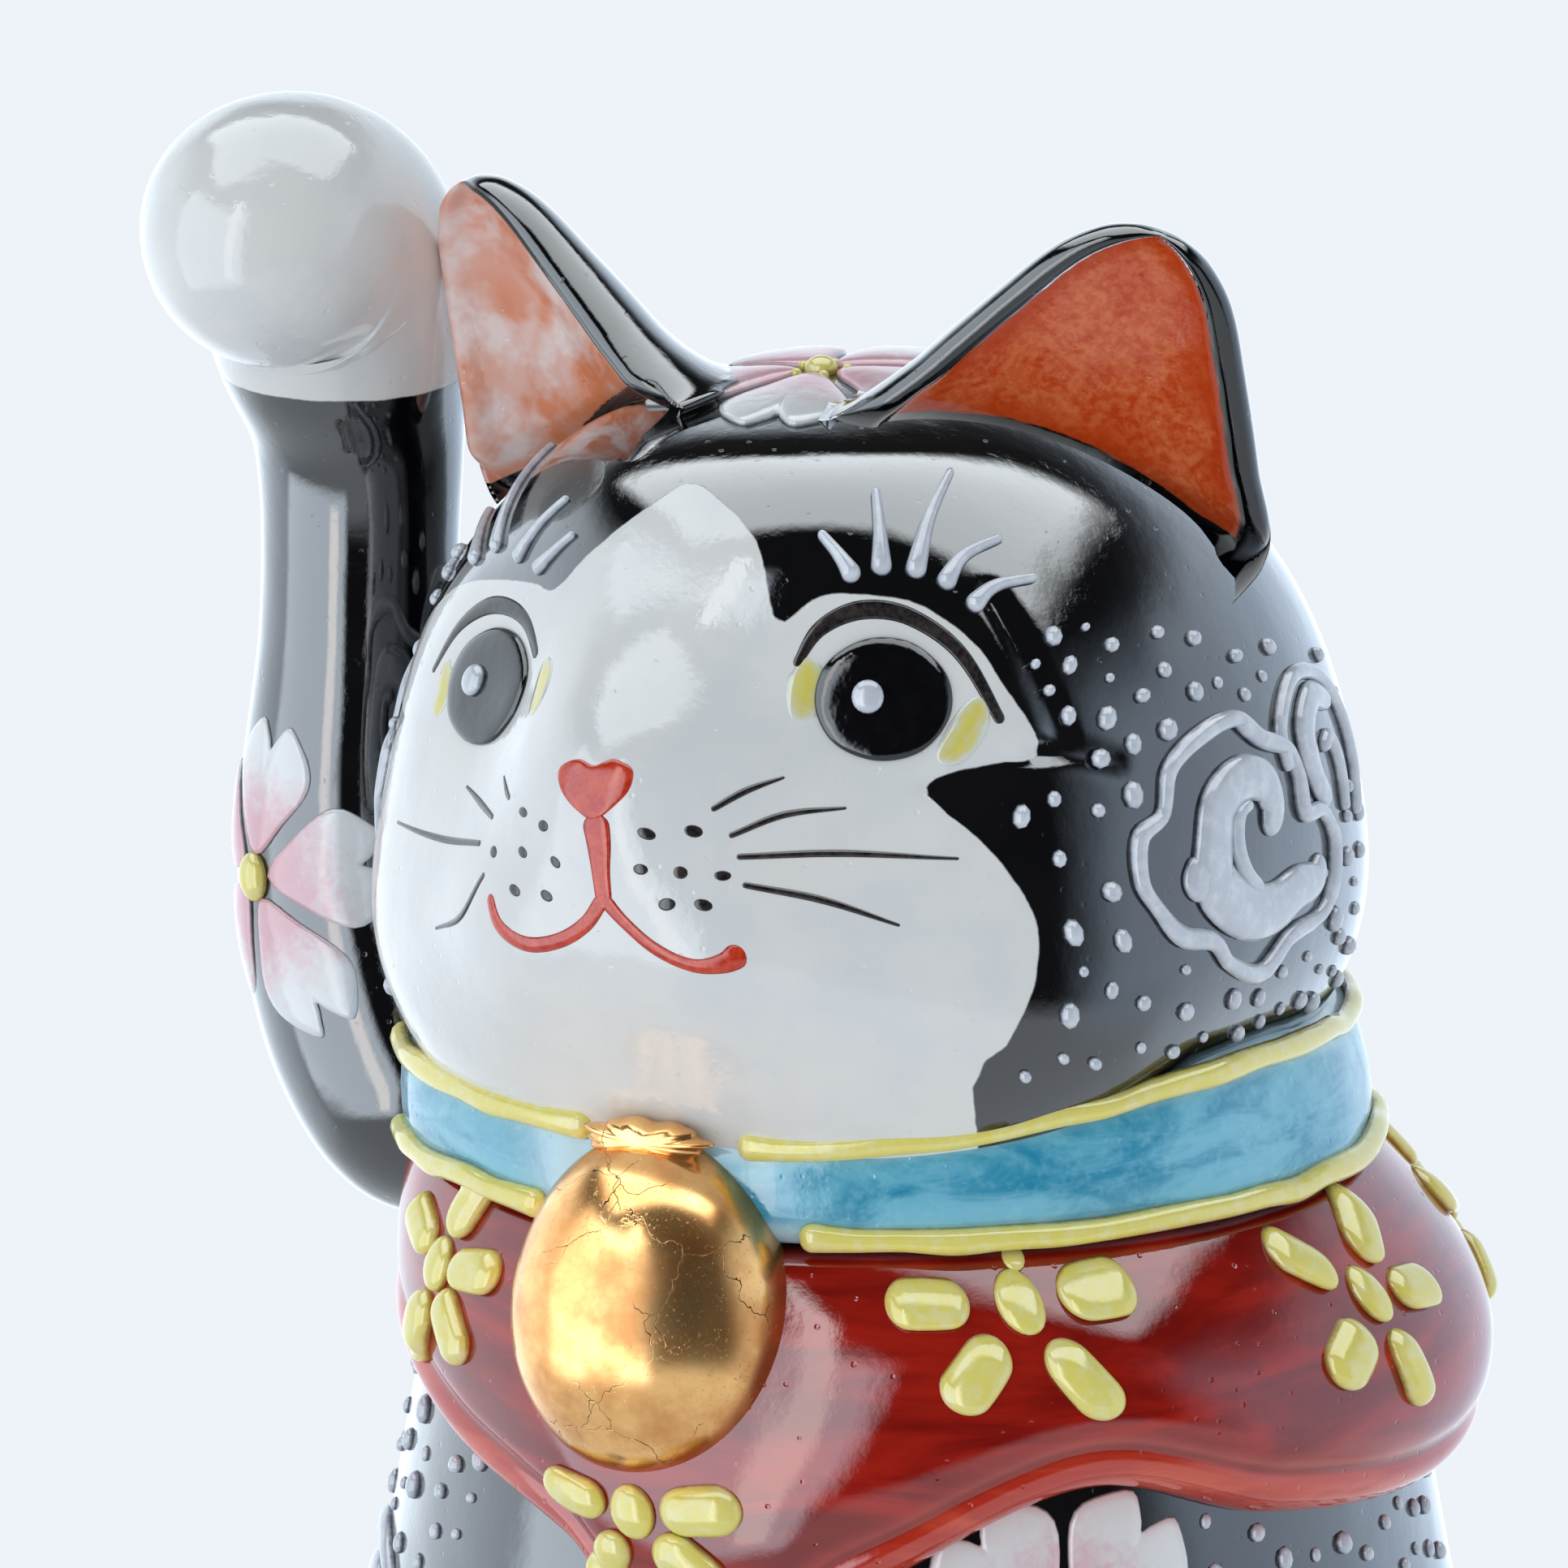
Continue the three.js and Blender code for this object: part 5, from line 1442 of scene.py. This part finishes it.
def make_world():
    world = bpy.data.worlds.new("studio")
    bpy.context.scene.world = world
    world.use_nodes = True
    tree = world.node_tree
    tree.nodes.clear()
    way = add(tree, "SeparateXYZ", Vector=add(tree, "TexCoord").outputs["Generated"]).outputs
    elevation = calc(tree, "DEGREES", calc(tree, "ARCSINE", way[2]))
    low, high = TABLE["below"] - TABLE["edge"], TABLE["below"] + TABLE["edge"]
    below = ease(tree, elevation, low, high, 1.0, 0.0)
    light = blend(tree, below, (ROOM_GLOW, ROOM_GLOW, ROOM_GLOW, 1), (*TABLE["glow"], 1))
    for (azimuth, middle), (wide, tall), edge, strength, tint in SOFT_BOXES:
        towards, across = sideways(tree, way, azimuth)
        off = calc(tree, "DEGREES", calc(tree, "ARCTAN2", across, towards))
        level = box_mask(tree, elevation, middle, tall, edge)
        mask = calc(tree, "MULTIPLY", box_mask(tree, off, 0.0, wide, edge), level)
        light = blend(tree, mask, light, (*[strength * part for part in tint], 1))
    upward = calc(tree, "MAXIMUM", way[2], 0.01)
    flat = [calc(tree, "DIVIDE", part, upward) for part in sideways(tree, way, VIEW["azimuth"])]
    mask = calc(tree, "GREATER_THAN", way[2], 0.05)
    for value, (middle, half) in zip(flat, (TOP_BOX["towards"], TOP_BOX["across"])):
        mask = calc(tree, "MULTIPLY", mask, box_mask(tree, value, middle, half, TOP_BOX["edge"]))
    light = blend(tree, mask, light, (*[TOP_BOX["strength"] * part for part in TOP_BOX_TINT], 1))
    # Mirrors see the boxes, unpolished surfaces see the tent, and the camera sees the backdrop.
    path = add(tree, "LightPath").outputs
    towards, _ = sideways(tree, way, TENT["azimuth"])
    stronger = ease(tree, towards, -0.2, 1.0, 1.0, 1.0 + TENT["more"] / TENT["glow"][0])
    strength = blend(tree, path["Is Glossy Ray"], stronger, (1, 1, 1, 1))
    light = blend(tree, path["Is Glossy Ray"], (*TENT["glow"], 1), light)
    lit = add(tree, "Background", Color=light, Strength=strength)
    seen = add(tree, "Background", Color=BACKDROP)
    mix = add(tree, "MixShader", i0=path["Is Camera Ray"], i1=lit.outputs[0], i2=seen.outputs[0])
    tree.links.new(mix.outputs[0], tree.nodes.new("ShaderNodeOutputWorld").inputs[0])


def make_floor():
    bm = bmesh.new()
    bmesh.ops.create_grid(bm, x_segments=2, y_segments=2, size=6)
    mesh = bpy.data.meshes.new("floor")
    bm.to_mesh(mesh)
    bm.free()
    floor = bpy.data.objects.new("floor", mesh)
    bpy.context.collection.objects.link(floor)
    floor.visible_glossy = False
    material, tree, shader, vector = start("pale floor")
    shader.inputs["Base Color"].default_value = rgb(226, 230, 238)
    shader.inputs["Roughness"].default_value = 0.7
    near = add(tree, "VectorMath", {"operation": "LENGTH"}, i0=vector).outputs["Value"]
    glow = add(tree, "Emission", Color=BACKDROP)
    mix = add(tree, "MixShader", i0=ease(tree, near, 60.0, 220.0), i1=shader.outputs[0], i2=glow.outputs[0])
    output = next(n for n in tree.nodes if n.bl_idname == "ShaderNodeOutputMaterial")
    tree.links.new(mix.outputs[0], output.inputs[0])
    mesh.materials.append(material)


make_head()
# The left ear is left out of the reflection on the brow under it.
make_ear(1, "left_ear", LEFT_EAR_GLAZE).visible_glossy = False
make_ear(-1, "right_ear", RIGHT_EAR_GLAZE, 4)
make_body()
make_limbs()
make_bib()
make_collar()
make_bell()
make_eyes()
make_nose_and_mouth()
make_cheek(1)
make_cheek(-1)
make_crown_blossom()
make_bib_blossoms()
make_body_flowers()
make_body_clouds()
make_arm_blossom()
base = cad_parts["base_plate"]
base.data.materials.clear()
base.data.materials.append(BISQUE)
make_world()
make_floor()
bpy.context.scene.view_settings.view_transform = "Standard"
